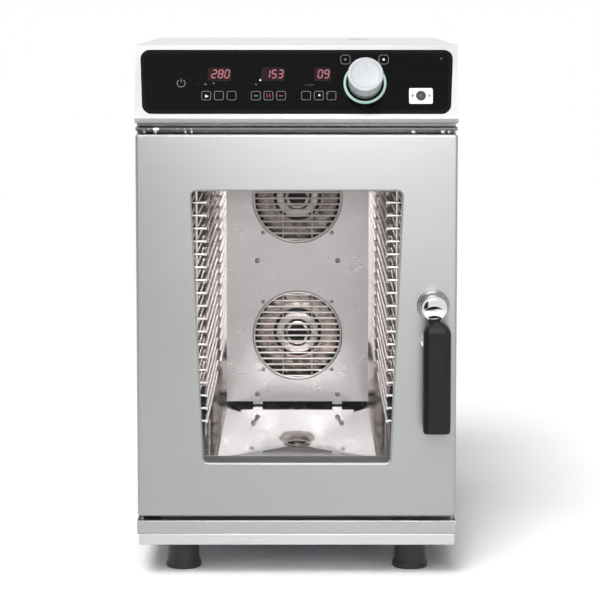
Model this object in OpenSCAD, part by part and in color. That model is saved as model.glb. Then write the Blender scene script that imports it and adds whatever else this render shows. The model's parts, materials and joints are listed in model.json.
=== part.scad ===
// Compact countertop combi steamer oven: six levels, one door hinged on the left.
// X runs to the viewer's right, Y from the door towards the rear, Z up; the origin is on the ground
// at the middle of the whole machine. Most modules count Y from the door's front face.

/* [Body] */
// Width over the side panels
body_w = 519; // [500:1:560]
// Depth from the door's front face to the rear panel's outer face
body_d = 781; // [776:1:850]
// Thickness of the outer sheet metal
sheet_t = 1.5; // [1:0.1:2]
// Clear height under the chassis
foot_h = 55; // [48:1:90]
// How far the rear fittings stand out of the rear panel
fitting_out = 22; // [16:1:30]
// Height of the chassis pan's walls
pan_h = 40; // [30:1:48]

/* [Front stack] */
// Height of the fixed sill under the drip tray
sill_h = 18.5; // [16:0.5:30]
// Height of the drip tray's front
tray_h = 22; // [16:0.5:30]
// Gap between the drip tray and the door
tray_gap = 6.5; // [6:0.5:10]
// Height of the door's upper edge above the chamber's ceiling
door_over = 24; // [20:1:60]
// Gap between the door and the rail above it
rail_gap = 5.5; // [5:0.5:8]
// Thickness of the rail above the door
rail_t = 4.5; // [3:0.5:6]
// Gap between the rail and the control panel
fascia_gap = 7; // [4:0.5:10]
// Height of the control panel from its lower edge to the roof
fascia_h = 124; // [118:1:150]
// How far the control panel leans back over its height
fascia_lean = 45; // [35:1:50]

/* [Cooking chamber] */
// Inner width of the chamber
cavity_w = 400; // [380:1:410]
// Inner height of the chamber from the edge of its floor
cavity_h = 519; // [505:1:540]
// Inner depth of the chamber
cavity_d = 638; // [630:1:660]
// Height of the chamber's floor edge above the door's lower edge
floor_up = 79; // [76:1:90]
// Depth of the pyramid pressed into the floor
floor_fall = 16; // [8:1:20]
// Thickness of the chamber's sheet
liner_t = 1.5; // [1:0.1:2]
// Thickness of the insulation
insulation_t = 28; // [20:1:30]
// Inner corner radius of the chamber
cavity_r = 15; // [8:1:20]

/* [Door] */
// Thickness of the door
door_t = 56; // [54:1:60]
// Width of the window at its top edge
window_top_w = 340.6; // [320:0.5:350]
// Width of the window at its bottom edge
window_low_w = 303.4; // [280:0.5:340]
// Height of the window
window_h = 435; // [380:1:450]
// Height of the window's bottom edge above the door's bottom edge
window_up = 93.5; // [80:0.5:110]
// Distance of the hinge pins' axis from the door's left edge
door_pin_in = 14; // [12:0.5:16]
// Thickness of the outer glass
outer_glass_t = 4; // [3:0.5:5]
// Thickness of the inner glass
inner_glass_t = 5; // [4:0.5:6]
// Width of the inner glass
inner_glass_w = 368; // [360:1:372]

/* [Handle] */
// Distance of the handle's axis from the door's right edge
hub_in = 38.35; // [35:0.05:42]
// Height of the handle's axis above the door's bottom edge
hub_up = 345; // [300:1:380]
// Radius of the chrome hub
hub_r = 20.5; // [18:0.5:22]
// How far the grip stands out in front of the door
handle_out = 58; // [54:1:70]
// Length of the grip
grip_len = 181; // [140:1:200]
// Width of the grip
grip_w = 44; // [36:1:50]

/* [Racks] */
// Number of tray levels
levels = 6; // [4:1:6]
// Runner wires for each level
wires_per_level = 3; // [2:1:3]
// Depth of the highest runner wire under the chamber's ceiling
last_wire_down = 94.2; // [75:0.1:120]
// Height of the lowest runner wire above the floor's edge
first_wire_up = 61; // [55:1:66]
// Diameter of the runner wires
wire_d = 5; // [4:0.5:5]
// Clear width between the inner legs of the left and the right runners
rack_clear_w = 295; // [285:1:298]
// Depth of a rack
rack_len = 532; // [500:1:534]

/* [Fans] */
// Radius of a fan wheel
wheel_r = 92; // [80:1:96]
// Depth of a fan wheel
wheel_d = 42; // [30:1:44]
// Number of blades on a fan wheel
blades = 18; // [10:1:24]
// How much nearer to the chamber's middle a fan's axis lies than the middle of its half
fan_in = 1; // [0:0.5:4]
// Radius of the opening in the baffle in front of a fan
guard_r = 84; // [70:1:90]
// Width of the baffle
baffle_w = 265; // [262:1:270]

/* [Controls] */
// Width of the black glass at its top edge
glass_top_w = 503.5; // [490:0.5:506]
// Width of the black glass at its bottom edge
glass_low_w = 493; // [480:0.5:500]
// Height of the black glass measured on its slope
glass_h = 107.6; // [104:0.2:108]
// Thickness of the black glass
glass_t = 4; // [3:0.5:5]
// Distance of the knob's axis from the middle
knob_x = 109.6; // [100:0.5:120]
// Distance of the knob's axis up the slope from the panel's lower front edge
knob_v = 58.8; // [50:0.2:66]
// Diameter of the knob
knob_d = 57; // [46:0.5:60]
// Height of the knob's face above the glass
knob_out = 46; // [30:0.5:50]

/* [Hidden] */

$fn = 48;
// Clearance between pieces that only lie close to each other
seat = 0.3;
// Radial clearance of running fits
run = 0.05;
// Sliver that a cut reaches past the face it opens
cut = 1;

half_w = body_w / 2;
in_half_w = half_w - sheet_t;
door_y0 = -(body_d + fitting_out - handle_out) / 2;

sill_z1 = foot_h + sill_h;
tray_z1 = sill_z1 + tray_h;
door_z0 = tray_z1 + tray_gap;
cav_z0 = door_z0 + floor_up;
cav_z1 = cav_z0 + cavity_h;
door_z1 = cav_z1 + door_over;
door_h = door_z1 - door_z0;
rail_z0 = door_z1 + rail_gap;
rail_z1 = rail_z0 + rail_t;
fascia_z0 = rail_z1 + fascia_gap;
top_z = fascia_z0 + fascia_h;
door_w = body_w - 2.3;

gasket_gap = 6;
frame_y = door_t + gasket_gap;
frame_t = 2;
cav_y0 = frame_y + frame_t;
cav_y1 = cav_y0 + cavity_d;
half_cav = cavity_w / 2;
ins_y1 = cav_y1 + liner_t + insulation_t;
rear_y = body_d - sheet_t;
deck_z = cav_z1 + liner_t + insulation_t + 2 * seat;

fan_z = [cav_z0 + cavity_h / 4 + fan_in, cav_z1 - cavity_h / 4 - fan_in];
baffle_y = cav_y1 - 62;
baffle_t = 1.5;
wheel_y1 = cav_y1 - 6;
wheel_y0 = wheel_y1 - wheel_d;
motor_y0 = ins_y1 + seat;
motor_shaft_r = 6;

floor_pit_half = 135;
floor_pit_y0 = cav_y0 + 26;
floor_pit_y1 = cav_y1 - 16;
drain_y = cav_y0 + 256;
drain_r = 20;

window_z0 = door_z0 + window_up;
pin_x = -(door_w / 2 - door_pin_in);
pin_y = 36;
pin_r = 5;
hub_x = door_w / 2 - hub_in;
hub_z = door_z0 + hub_up;

bevel_h = 8;
bevel_in = 6;
lean = atan(fascia_lean / (fascia_h - bevel_h));
slope_len = norm([fascia_lean, fascia_h - bevel_h]);
glass_v0 = (slope_len - glass_h) / 2;
glass_proud = 0.5;

// Points of one rounded corner b between a and c
function corner(a, b, c, r, n = 6) =
    let (u = (a - b) / norm(a - b), v = (c - b) / norm(c - b))
    let (half = acos(u * v) / 2, m = (u + v) / norm(u + v), ctr = b + m * r / sin(half))
    let (p = b + u * r / tan(half) - ctr, q = b + v * r / tan(half) - ctr)
    let (s = atan2(p[1], p[0]), d = atan2(q[1], q[0]) - s)
    let (sweep = d > 180 ? d - 360 : d < -180 ? d + 360 : d)
    [for (i = [0:n]) ctr + r * [cos(s + sweep * i / n), sin(s + sweep * i / n)]];

// Outline with every corner rounded to the same radius
function rounded(pts, r) =
    let (k = len(pts))
    [for (i = [0:k - 1]) each corner(pts[(i + k - 1) % k], pts[i], pts[(i + 1) % k], r)];

// Symmetric trapezoid standing on y = 0
function trapezoid(low_w, top_w, h) =
    [[-low_w / 2, 0], [low_w / 2, 0], [top_w / 2, h], [-top_w / 2, h]];

// The same outline grown by g on every side
function grown(low_w, top_w, h, g) =
    [for (p = trapezoid(low_w + 2 * g, top_w + 2 * g, h + 2 * g)) p - [0, g]];

// Rectangle given by two corners
function box2(x0, y0, x1, y1) = [[x0, y0], [x1, y0], [x1, y1], [x0, y1]];

// Box from one corner to the opposite one
module span(a, b) {
    translate(a) cube(b - a);
}

// Places children that count Y from the door's front face
module on_door_face() {
    translate([0, door_y0, 0]) children();
}

// Extrudes a 2D outline drawn in X and Z along Y from y0 to y1
module along_y(y0, y1) {
    translate([0, y1, 0]) rotate([90, 0, 0]) linear_extrude(y1 - y0) children();
}

// Round bar along Y
module rod_y(x, z, r, y0, y1) {
    translate([x, y0, z]) rotate([-90, 0, 0]) cylinder(r = r, h = y1 - y0);
}

// Round bar along X
module rod_x(y, z, r, x0, x1) {
    translate([x0, y, z]) rotate([0, 90, 0]) cylinder(r = r, h = x1 - x0);
}

// Round bar along Z
module rod_z(x, y, r, z0, z1) {
    translate([x, y, z0]) cylinder(r = r, h = z1 - z0);
}

// Frame of the sloping control panel: X, up the slope, and out of the panel
module on_panel() {
    translate([0, 0, fascia_z0 + bevel_h]) rotate([90 - lean, 0, 0]) children();
}

// ---- Chassis, feet and casing ----

foot_x = half_w - 71.5;
foot_y = [90, body_d - 90];
foot_r = 29;
stem_r = 7;
socket_r = 11;
socket_top = foot_h + 34;
foot_flange_t = 4;

// Pan with turned-up walls, and a threaded socket for each foot
module base_frame() {
    color("gray") on_door_face() difference() {
        union() {
            difference() {
                span([-in_half_w, cav_y0, foot_h], [in_half_w, rear_y, foot_h + pan_h]);
                span([-in_half_w + sheet_t, cav_y0 + sheet_t, foot_h + sheet_t],
                     [in_half_w - sheet_t, rear_y - sheet_t, foot_h + pan_h + cut]);
            }
            for (x = [-foot_x, foot_x], y = foot_y) {
                rod_z(x, y, socket_r, foot_h, socket_top);
                rod_z(x, y, foot_r - 4, foot_h - foot_flange_t, foot_h + sheet_t / 2);
            }
        }
        for (x = [-foot_x, foot_x], y = foot_y)
            rod_z(x, y, stem_r + run, foot_h - foot_flange_t - cut, socket_top + cut);
        for (x = [-inlet_x1, -inlet_x0])
            rod_y(x, inlet_z, inlet_r + 2, rear_y - 2 * sheet_t, rear_y + cut);
        rod_y(0, drain_z, drain_out_r + 1, rear_y - 2 * sheet_t, rear_y + cut);
    }
}

// One levelling foot: a rubber cup on a threaded stem, drawn screwed right in
module foot(x, y) {
    cup_top = foot_h - foot_flange_t - seat;
    color("dimgray") on_door_face() translate([x, y, 0]) rotate_extrude() polygon([
        [0, 0], [foot_r - 2, 0], [foot_r, 2], [foot_r, 9], [foot_r - 3, 14],
        [foot_r - 4, cup_top - 3], [foot_r - 7, cup_top], [stem_r, cup_top],
        [stem_r, socket_top - 4], [0, socket_top - 4]
    ]);
}

module foot_front_left() { foot(-foot_x, foot_y[0]); }
module foot_front_right() { foot(foot_x, foot_y[0]); }
module foot_rear_left() { foot(-foot_x, foot_y[1]); }
module foot_rear_right() { foot(foot_x, foot_y[1]); }

louvre_n = 12;
louvre_pitch = 14;
louvre_w = 5;
louvre_len = 70;

// Flat side sheet with a field of cooling slots low at the rear; side is -1 or 1
module side_panel(side) {
    color("silver") on_door_face() difference() {
        mirror([side < 0 ? 1 : 0, 0, 0])
            span([in_half_w, frame_y, foot_h], [half_w, body_d, top_z - sheet_t]);
        for (i = [0:louvre_n - 1])
            translate([side * half_w, body_d - 60 - i * louvre_pitch, foot_h + pan_h + 30])
                span([-5, -louvre_w / 2, 0], [5, louvre_w / 2, louvre_len]);
    }
}

module side_panel_left() { side_panel(-1); }
module side_panel_right() { side_panel(1); }

vent_x = 110;
vent_y = cav_y1 - 90;
vent_r = 19;
vent_wall = 1.5;
vent_mouth_r = vent_r + 0.5;
vent_mouth_d = 30;

// Roof sheet with the flush steam outlet
module roof_panel() {
    color("silver") on_door_face() difference() {
        span([-half_w, frame_y, top_z - sheet_t], [half_w, body_d, top_z]);
        rod_z(vent_x, vent_y, vent_r + vent_wall + seat, top_z - 5, top_z + cut);
    }
}

inlet_pitch = 40;
inlet_x1 = half_w - 89.5;
inlet_x0 = inlet_x1 - inlet_pitch;
inlet_z = foot_h + 50;
inlet_r = 13.2;
inlet_in_r = 9;
nut_t = 4;
drain_z = foot_h + 31;
drain_out_r = 20;
drain_wall = 2;
gland_x = 150;
gland_z = foot_h + 60;
gland_r = 14;
gland_bore_r = 9;
cool_x = -150;
cool_z = top_z - 62;
cool_r = 43;
screw_r = 3.5;
rear_screw_x = in_half_w - 10;
rear_screw_z = [for (i = [0:4]) foot_h + 60 + i * (top_z - foot_h - 90) / 4];

// Rear sheet with the holes of its fittings and the cooling fan's grille
module rear_panel() {
    color("silver") on_door_face() difference() {
        span([-in_half_w, rear_y, foot_h], [in_half_w, body_d, top_z - sheet_t]);
        for (x = [-inlet_x1, -inlet_x0])
            rod_y(x, inlet_z, inlet_r + seat, rear_y - cut, body_d + cut);
        rod_y(0, drain_z, drain_out_r + seat, rear_y - cut, body_d + cut);
        rod_y(gland_x, gland_z, gland_r - 3 + seat, rear_y - cut, body_d + cut);
        for (i = [-4:4]) {
            half = sqrt(cool_r * cool_r - pow(i * 9, 2)) - 2;
            span([cool_x - half, rear_y - cut, cool_z + i * 9 - 2.5],
                 [cool_x + half, body_d + cut, cool_z + i * 9 + 2.5]);
        }
    }
}

// Flat-headed screws along the rear panel's edges
module case_screws() {
    color("lightgray") on_door_face() for (x = [-rear_screw_x, rear_screw_x], z = rear_screw_z)
        rod_y(x, z, screw_r, body_d, body_d + 2.2);
}

// Closed channel under the drip tray
module front_sill() {
    color("silver") on_door_face() difference() {
        span([-half_w + 2.5, 1, foot_h], [half_w - 2.5, frame_y, sill_z1]);
        span([-half_w + 2.5 + sheet_t, 1 + sheet_t, foot_h + sheet_t],
             [half_w - 2.5 - sheet_t, frame_y - sheet_t, sill_z1 - sheet_t]);
    }
}

tray_depth = door_t + 2;

// Trough that catches the condensate running off the door; it slides out to the front
module drip_tray() {
    color("silver") on_door_face() difference() {
        span([-half_w, 0, sill_z1], [half_w, tray_depth, tray_z1]);
        span([-half_w + sheet_t, sheet_t, sill_z1 + sheet_t],
             [half_w - sheet_t, tray_depth - sheet_t, tray_z1 + cut]);
    }
}

slot_half_w = 6.5;
hook_half_len = 15;

// Outline of the chamber's inner cross-section, drawn in X and Z
module chamber_outline(g = 0) {
    polygon(rounded(box2(-half_cav - g, cav_z0 - g, half_cav + g, cav_z1 + g), cavity_r + g));
}

// Front sheet around the chamber's mouth, with the keeper slot of the door latch
module front_frame() {
    color("silver") on_door_face() difference() {
        span([-in_half_w, frame_y, foot_h], [in_half_w, cav_y0, fascia_z0]);
        along_y(frame_y - cut, cav_y0 + cut) chamber_outline();
        span([hub_x - slot_half_w, frame_y - cut, hub_z - hook_half_len - 3],
             [hub_x + slot_half_w, cav_y0 + cut, hub_z + hook_half_len + 3]);
    }
}

// Rail that bridges the gap above the door
module door_rail() {
    color("darkgray") on_door_face()
        span([-in_half_w, 3, rail_z0], [in_half_w, frame_y, rail_z1]);
}

// ---- Cooking chamber ----

port_gap = 0.5;
// Half of the hairline between two welded sheets
weld = 0.02;
pipe_r = 4;
pipe_x = -118;
pipe_y = ins_y1 + 25;
heater_r = 108;
heater_tube_r = 4;
heater_gap = 15;
heater_y = [for (i = [-1:1]) cav_y1 - 25 + i * heater_gap];
lead_x = [-12, 12];
lead_drop = heater_r;
rack_y0 = cav_y0 + 36;
rack_y1 = rack_y0 + rack_len;
wires = levels * wires_per_level;
wire_z0 = cav_z0 + first_wire_up;
wire_z1 = cav_z1 - last_wire_down;
wire_pitch = (wire_z1 - wire_z0) / (wires - 1);
stud_in = 21;
stud_under = 20;
stud_over = 34.2;
stud_y = [rack_y0 + stud_in, rack_y1 - stud_in];
stud_z = [wire_z0 - stud_under, wire_z1 + stud_over];
pit_z = cav_z0 - floor_fall;

// Inverted pyramid from the floor's edge down to the drain, lowered by d
module floor_pit(d) {
    hull() {
        translate([0, 0, cav_z0 - d + 0.01]) linear_extrude(cut)
            polygon(box2(-floor_pit_half, floor_pit_y0, floor_pit_half, floor_pit_y1));
        translate([0, drain_y, pit_z - d]) cylinder(r = drain_r + 4, h = 0.5, $fn = 32);
    }
}

// Sheet tube round the chamber, before it is cut into the strips that are welded together
module chamber_tube() {
    difference() {
        along_y(cav_y0, cav_y1) chamber_outline(liner_t);
        along_y(cav_y0 - cut, cav_y1 + cut) chamber_outline();
    }
}

// Part of the tube between two corners in X and Z
module tube_strip(x0, z0, x1, z1) {
    intersection() {
        chamber_tube();
        span([x0 + weld, cav_y0, z0 + weld], [x1 - weld, cav_y1, z1 - weld]);
    }
}

// Holes for the drain, the vent, the motor shafts, the steam pipes and the heaters' leads
module chamber_ports() {
    rod_z(0, drain_y, drain_r + seat, pit_z - 10, pit_z + 5);
    for (z = fan_z) {
        rod_y(0, z, motor_shaft_r + 3, cav_y1 - cut, cav_y1 + 5);
        rod_y(pipe_x, z, pipe_r + port_gap, cav_y1 - cut, cav_y1 + 5);
        for (x = lead_x)
            rod_y(x, z - lead_drop, heater_tube_r + port_gap, cav_y1 - cut, cav_y1 + 5);
    }
    rod_z(vent_x, vent_y, vent_r + vent_wall + port_gap, cav_z1 - cut, cav_z1 + 5);
}

// Welded chamber: walls, corner strips, roof, back wall and the floor that falls to the drain
module cavity() {
    out_x = half_cav + liner_t + cut;
    flat_x = half_cav - cavity_r;
    z = [cav_z0 - liner_t - cut, cav_z0 + cavity_r, cav_z1 - cavity_r, cav_z1 + liner_t + cut];
    color("gainsboro") on_door_face() difference() {
        union() {
            for (side = [0, 1], i = [0:2]) mirror([side, 0, 0])
                tube_strip(flat_x, z[i], out_x, z[i + 1]);
            tube_strip(-flat_x, z[2], flat_x, z[3]);
            along_y(cav_y1 + weld, cav_y1 + liner_t) chamber_outline(liner_t);
            difference() {
                tube_strip(-flat_x, z[0], flat_x, z[1]);
                span([-floor_pit_half, floor_pit_y0, z[0]], [floor_pit_half, floor_pit_y1, z[1]]);
            }
            difference() {
                intersection() {
                    floor_pit(liner_t);
                    span([-floor_pit_half, floor_pit_y0, pit_z - liner_t],
                         [floor_pit_half, floor_pit_y1, cav_z0]);
                }
                floor_pit(0);
            }
        }
        chamber_ports();
    }
}

ins_half = half_cav + liner_t + insulation_t;
ins_z0 = pit_z - 2 * liner_t - insulation_t;
pocket_y = cav_y0 + 26;

// Mineral wool wrapped round the chamber
module insulation() {
    g = liner_t + seat;
    color("wheat") on_door_face() difference() {
        span([-ins_half, cav_y0 + seat, ins_z0], [ins_half, ins_y1, deck_z - seat]);
        span([-half_cav - g, cav_y0 - cut, pit_z - g - liner_t],
             [half_cav + g, cav_y1 + g, cav_z1 + g]);
        span([half_cav + g - cut, cav_y0 - cut, hub_z - hook_half_len - 8],
             [ins_half + cut, pocket_y, hub_z + hook_half_len + 8]);
        rod_z(0, drain_y, drain_r + 8, ins_z0 - cut, pit_z);
        for (z = fan_z) {
            rod_y(0, z, motor_shaft_r + 4, cav_y1, ins_y1 + cut);
            rod_y(pipe_x, z, pipe_r + port_gap, cav_y1, ins_y1 + cut);
            for (x = lead_x)
                rod_y(x, z - lead_drop, heater_tube_r + port_gap, cav_y1, ins_y1 + cut);
        }
        rod_z(vent_x, vent_y, vent_r + vent_wall + port_gap, cav_z1, deck_z + cut);
    }
}

// Sheet over the insulation that carries the power board
module service_deck() {
    color("gray") on_door_face() difference() {
        span([-in_half_w, cav_y0, deck_z], [in_half_w, rear_y, deck_z + sheet_t]);
        rod_z(vent_x, vent_y, vent_r + vent_wall + port_gap, deck_z - cut, deck_z + 5);
    }
}

rack_in_x = rack_clear_w / 2;
runner_r = wire_d / 2;
runner_w = 25;
tie_r = runner_r - 0.2;
post_in = 18;
post_past = 16;
post_x = rack_in_x + post_in;
post_y = [rack_y0 + 2 * wire_d + seat - runner_r, rack_y1 - 2 * wire_d - seat + runner_r];
stud_r = 4;
eye_x = post_x + runner_r + 1;
eye_t = 3;
eye_half = 10;
eye_down = 14;
eye_up = 12;
eye_web = 3;
stud_head_t = 2;

// Headed studs on the chamber's side walls that the racks hang on
module rack_studs() {
    color("silver") on_door_face() for (side = [0, 1], y = stud_y, z = stud_z)
        mirror([side, 0, 0]) {
            rod_x(y, z, stud_r, eye_x - seat, half_cav);
            rod_x(y, z, stud_r + 2, eye_x - seat - stud_head_t, eye_x - seat);
        }
}

// One closed runner loop of wire
module runner(z) {
    in_x = rack_in_x + runner_r;
    for (x = [in_x, in_x + runner_w]) rod_y(x, z, runner_r, rack_y0, rack_y1);
    for (y = [rack_y0 + runner_r, rack_y1 - runner_r]) rod_x(y, z, tie_r, in_x, in_x + runner_w);
}

// Eye plate with a slot that is open below, so that the rack lifts off its stud
module rack_eye(y, z, py) {
    y0 = min(y - eye_half, py - runner_r);
    y1 = max(y + eye_half, py + runner_r);
    slot = stud_r + seat;
    difference() {
        span([eye_x, y0, z - eye_down], [eye_x + eye_t, y1, z + eye_up]);
        rod_x(y, z, slot, eye_x - cut, eye_x + eye_t + cut);
        span([eye_x - cut, y - slot, z - eye_down - cut], [eye_x + eye_t + cut, y + slot, z]);
    }
    span([post_x, py - eye_web / 2, z - eye_half], [eye_x + 0.5, py + eye_web / 2, z + eye_half]);
}

// Right-hand rack: posts with eyes, and a runner loop for every wire
module rack() {
    for (i = [0:1]) {
        rod_z(post_x, post_y[i], runner_r, stud_z[0] - post_past, stud_z[1] + post_past);
        for (z = stud_z) rack_eye(stud_y[i], z, post_y[i]);
    }
    for (i = [0:wires - 1]) runner(wire_z0 + i * wire_pitch);
}

module rack_left() {
    color("silver") on_door_face() mirror([1, 0, 0]) rack();
}

module rack_right() {
    color("silver") on_door_face() rack();
}

baffle_z0 = cav_z0 + 6;
baffle_z1 = cav_z1 - 6;
baffle_side = 22;

// Steel deflector in front of the fans, on legs that stand on the back wall
module fan_baffle() {
    hw = baffle_w / 2;
    color("gainsboro") on_door_face() {
        difference() {
            span([-hw, baffle_y, baffle_z0], [hw, baffle_y + baffle_side, baffle_z1]);
            span([-hw + baffle_t, baffle_y + baffle_t, baffle_z0 - cut],
                 [hw - baffle_t, baffle_y + baffle_side + cut, baffle_z1 + cut]);
            for (z = fan_z) rod_y(0, z, guard_r, baffle_y - cut, baffle_y + baffle_t + cut);
        }
        for (x = [-1, 1], z = [baffle_z0 + 12, (fan_z[0] + fan_z[1]) / 2, baffle_z1 - 12])
            rod_y(x * (hw - 8), z, 4, baffle_y + baffle_t, cav_y1);
    }
}

guard_wire_r = 1.25;
guard_pitch = 10.9;
guard_rim_r = 2.5;

// Wire guard in front of one fan
module fan_guard(z) {
    rim = guard_r - guard_rim_r - seat;
    n = floor((rim - 6) / guard_pitch);
    translate([0, baffle_y + 0.75, z]) {
        rotate([90, 0, 0]) rotate_extrude() translate([rim, 0]) circle(guard_rim_r, $fn = 24);
        for (i = [-n:n]) {
            half = sqrt(rim * rim - pow(i * guard_pitch, 2));
            rod_x(0, i * guard_pitch, guard_wire_r, -half, half);
        }
        for (x = [-27, 27]) {
            half = sqrt(rim * rim - x * x);
            rod_z(x, 1.6, guard_wire_r, -half, half);
        }
    }
}

module fan_guards() {
    color("silver") on_door_face() for (z = fan_z) fan_guard(z);
}

wheel_sheet_t = 1.5;
blade_in_r = 58;
shaft_len = 90;

// Radial fan wheel with its motor shaft
module fan_wheel(z) {
    color("silver") on_door_face() translate([0, wheel_y0, z]) rotate([-90, 0, 0]) {
        translate([0, 0, wheel_d - wheel_sheet_t]) cylinder(r = wheel_r, h = wheel_sheet_t);
        translate([0, 0, wheel_d - 24]) cylinder(r = 15, h = 24);
        translate([0, 0, wheel_d - 33]) cylinder(r = 10, h = 10, $fn = 6);
        translate([0, 0, wheel_d - 9]) difference() {
            cylinder(r = 44, h = 9);
            translate([0, 0, -cut]) cylinder(r = 41, h = 9);
        }
        translate([0, 0, wheel_d - 20]) cylinder(r = motor_shaft_r, h = shaft_len);
        difference() {
            cylinder(r = wheel_r, h = wheel_sheet_t);
            translate([0, 0, -cut]) cylinder(r = 70, h = wheel_sheet_t + 2 * cut);
        }
        for (i = [0:blades - 1]) rotate(i * 360 / blades) translate([blade_in_r, 0, 0])
            rotate(20) translate([0, -wheel_sheet_t / 2, wheel_sheet_t / 2])
                cube([wheel_r - blade_in_r - 1, wheel_sheet_t, wheel_d - wheel_sheet_t]);
    }
}

module fan_wheel_upper() { fan_wheel(fan_z[1]); }
module fan_wheel_lower() { fan_wheel(fan_z[0]); }

motor_r = 55;
motor_flange = 116;
motor_flange_t = 3;
bulkhead_y = motor_y0;
motor_y1 = rear_y - 3;

// Sheet behind the insulation that carries both fan motors
module motor_bulkhead() {
    color("gray") on_door_face() difference() {
        span([-in_half_w + sheet_t, bulkhead_y, foot_h + sheet_t],
             [in_half_w - sheet_t, bulkhead_y + sheet_t, deck_z]);
        for (z = fan_z) {
            rod_y(0, z, motor_shaft_r + 4, bulkhead_y - cut, bulkhead_y + 5);
            rod_y(pipe_x, z, pipe_r + port_gap, bulkhead_y - cut, bulkhead_y + 5);
            for (x = lead_x)
                rod_y(x, z - lead_drop, heater_tube_r + port_gap, bulkhead_y - cut, bulkhead_y + 5);
        }
        rod_y(0, drain_z, drain_out_r + 1, bulkhead_y - cut, bulkhead_y + 5);
    }
}

// Pancake motors of the two fans
module fan_motors() {
    color("dimgray") on_door_face() for (z = fan_z) difference() {
        union() {
            span([-motor_flange / 2, bulkhead_y + sheet_t, z - motor_flange / 2],
                 [motor_flange / 2, bulkhead_y + sheet_t + motor_flange_t, z + motor_flange / 2]);
            rod_y(0, z, motor_r, bulkhead_y + sheet_t, motor_y1);
        }
        rod_y(0, z, motor_shaft_r + run, bulkhead_y, motor_y1 - 6);
    }
}

// Ring heaters round the fans, each with its two leads through the back wall
module heaters() {
    color("dimgray") on_door_face() for (z = fan_z) {
        for (y = heater_y) translate([0, y, z]) rotate([90, 0, 0])
            rotate_extrude($fn = 64) translate([heater_r, 0]) circle(heater_tube_r, $fn = 24);
        for (x = lead_x)
            rod_y(x, z - lead_drop, heater_tube_r - 0.3, heater_y[0], bulkhead_y + 12);
    }
}

valve_half = 18;
valve_side = 20;
valve_y0 = rear_y - 36;
valve_y1 = rear_y - 2;
valve_leg_in = 6;

// Double water valve with its two threaded inlets at the rear
module water_valve() {
    color("royalblue") on_door_face() difference() {
        union() {
            span([-inlet_x1 - valve_side, valve_y0, inlet_z - valve_half],
                 [pipe_x + pipe_r + valve_leg_in, valve_y1, inlet_z + valve_half]);
            span([-inlet_x1, valve_y0 + valve_leg_in, foot_h + sheet_t],
                 [-inlet_x0, valve_y1 - valve_leg_in, inlet_z - valve_half]);
            for (x = [-inlet_x1, -inlet_x0])
                rod_y(x, inlet_z, inlet_r, rear_y - 4, body_d + fitting_out);
            for (x = [-inlet_x1, -inlet_x0]) translate([x, body_d, inlet_z]) rotate([-90, 0, 0])
                cylinder(r = inlet_r + 4, h = nut_t, $fn = 6);
        }
        for (x = [-inlet_x1, -inlet_x0])
            rod_y(x, inlet_z, inlet_in_r, rear_y - 12, body_d + fitting_out + cut);
    }
}

// Pipes from the water valve to a nozzle beside each fan wheel
module steam_pipes() {
    color("silver") on_door_face() {
        rod_z(pipe_x, pipe_y, pipe_r, inlet_z + valve_half, fan_z[1] + pipe_r);
        for (z = fan_z) difference() {
            rod_y(pipe_x, z, pipe_r - 0.3, wheel_y0 + 8, pipe_y);
            rod_x(wheel_y0 + 12, z, 1.5, pipe_x, pipe_x + 6);
        }
    }
}

drain_cup_z0 = drain_z - 6;

// Cup under the drain and the pipe to the rear outlet
module drain_pipe() {
    color("gray") on_door_face() difference() {
        union() {
            rod_z(0, drain_y, drain_r + 4, drain_cup_z0, pit_z - 2 * liner_t);
            rod_y(0, drain_z, drain_out_r, drain_y - 2, body_d + fitting_out);
            rod_y(0, drain_z, drain_out_r + 4, body_d, body_d + nut_t);
        }
        rod_z(0, drain_y, drain_r, drain_cup_z0 + 2, pit_z);
        rod_y(0, drain_z, drain_out_r - drain_wall, drain_y, body_d + fitting_out + cut);
    }
}

// Perforated basket that hangs in the drain by its rim and lifts out
module drain_strainer() {
    color("silver") on_door_face() translate([0, drain_y, 0]) difference() {
        union() {
            rod_z(0, 0, drain_r + 3, pit_z, pit_z + 1);
            rod_z(0, 0, drain_r - seat, pit_z - 10, pit_z + 1);
        }
        difference() {
            rod_z(0, 0, drain_r - 2, pit_z - 9, pit_z + 2);
            rod_z(0, 0, 5, pit_z - 10, pit_z);
        }
        for (a = [0:45:315]) rotate(a) rod_z(12, 0, 3, pit_z - 11, pit_z);
    }
}

flap_z = deck_z + 45;
flap_shaft_r = 3;
flap_t = 1.5;

// Steam outlet from the chamber's roof to the casing's roof
module vent_duct() {
    color("silver") on_door_face() difference() {
        rod_z(vent_x, vent_y, vent_r + vent_wall, cav_z1 - 2, top_z);
        rod_z(vent_x, vent_y, vent_r, cav_z1 - 3, top_z + cut);
        rod_z(vent_x, vent_y, vent_mouth_r, top_z - vent_mouth_d, top_z + cut);
        rod_x(vent_y, flap_z, flap_shaft_r + run, vent_x - vent_r - 5, vent_x + vent_r + 5);
    }
}

// Butterfly flap that closes the duct; its shaft runs on to the actuator
module vent_flap() {
    color("gray") on_door_face() {
        rod_z(vent_x, vent_y, vent_r - seat, flap_z - flap_t / 2, flap_z + flap_t / 2);
        rod_x(vent_y, flap_z, flap_shaft_r, vent_x - vent_r - 4, vent_x + vent_r + 12);
    }
}

// Gear motor that turns the flap
module vent_actuator() {
    x0 = vent_x + vent_r + vent_wall + 2;
    color("black") on_door_face() difference() {
        span([x0, vent_y - 25, deck_z + sheet_t], [x0 + 28, vent_y + 25, flap_z + 18]);
        rod_x(vent_y, flap_z, flap_shaft_r + run, x0 - cut, x0 + 14);
    }
}

cool_d = 25;
cool_hub_r = 18;
cool_shaft_r = 3;
cool_hub_len = 15;
cool_shaft_len = 13;
cool_blade_w = 15;
cool_blade_t = 1.5;

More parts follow.
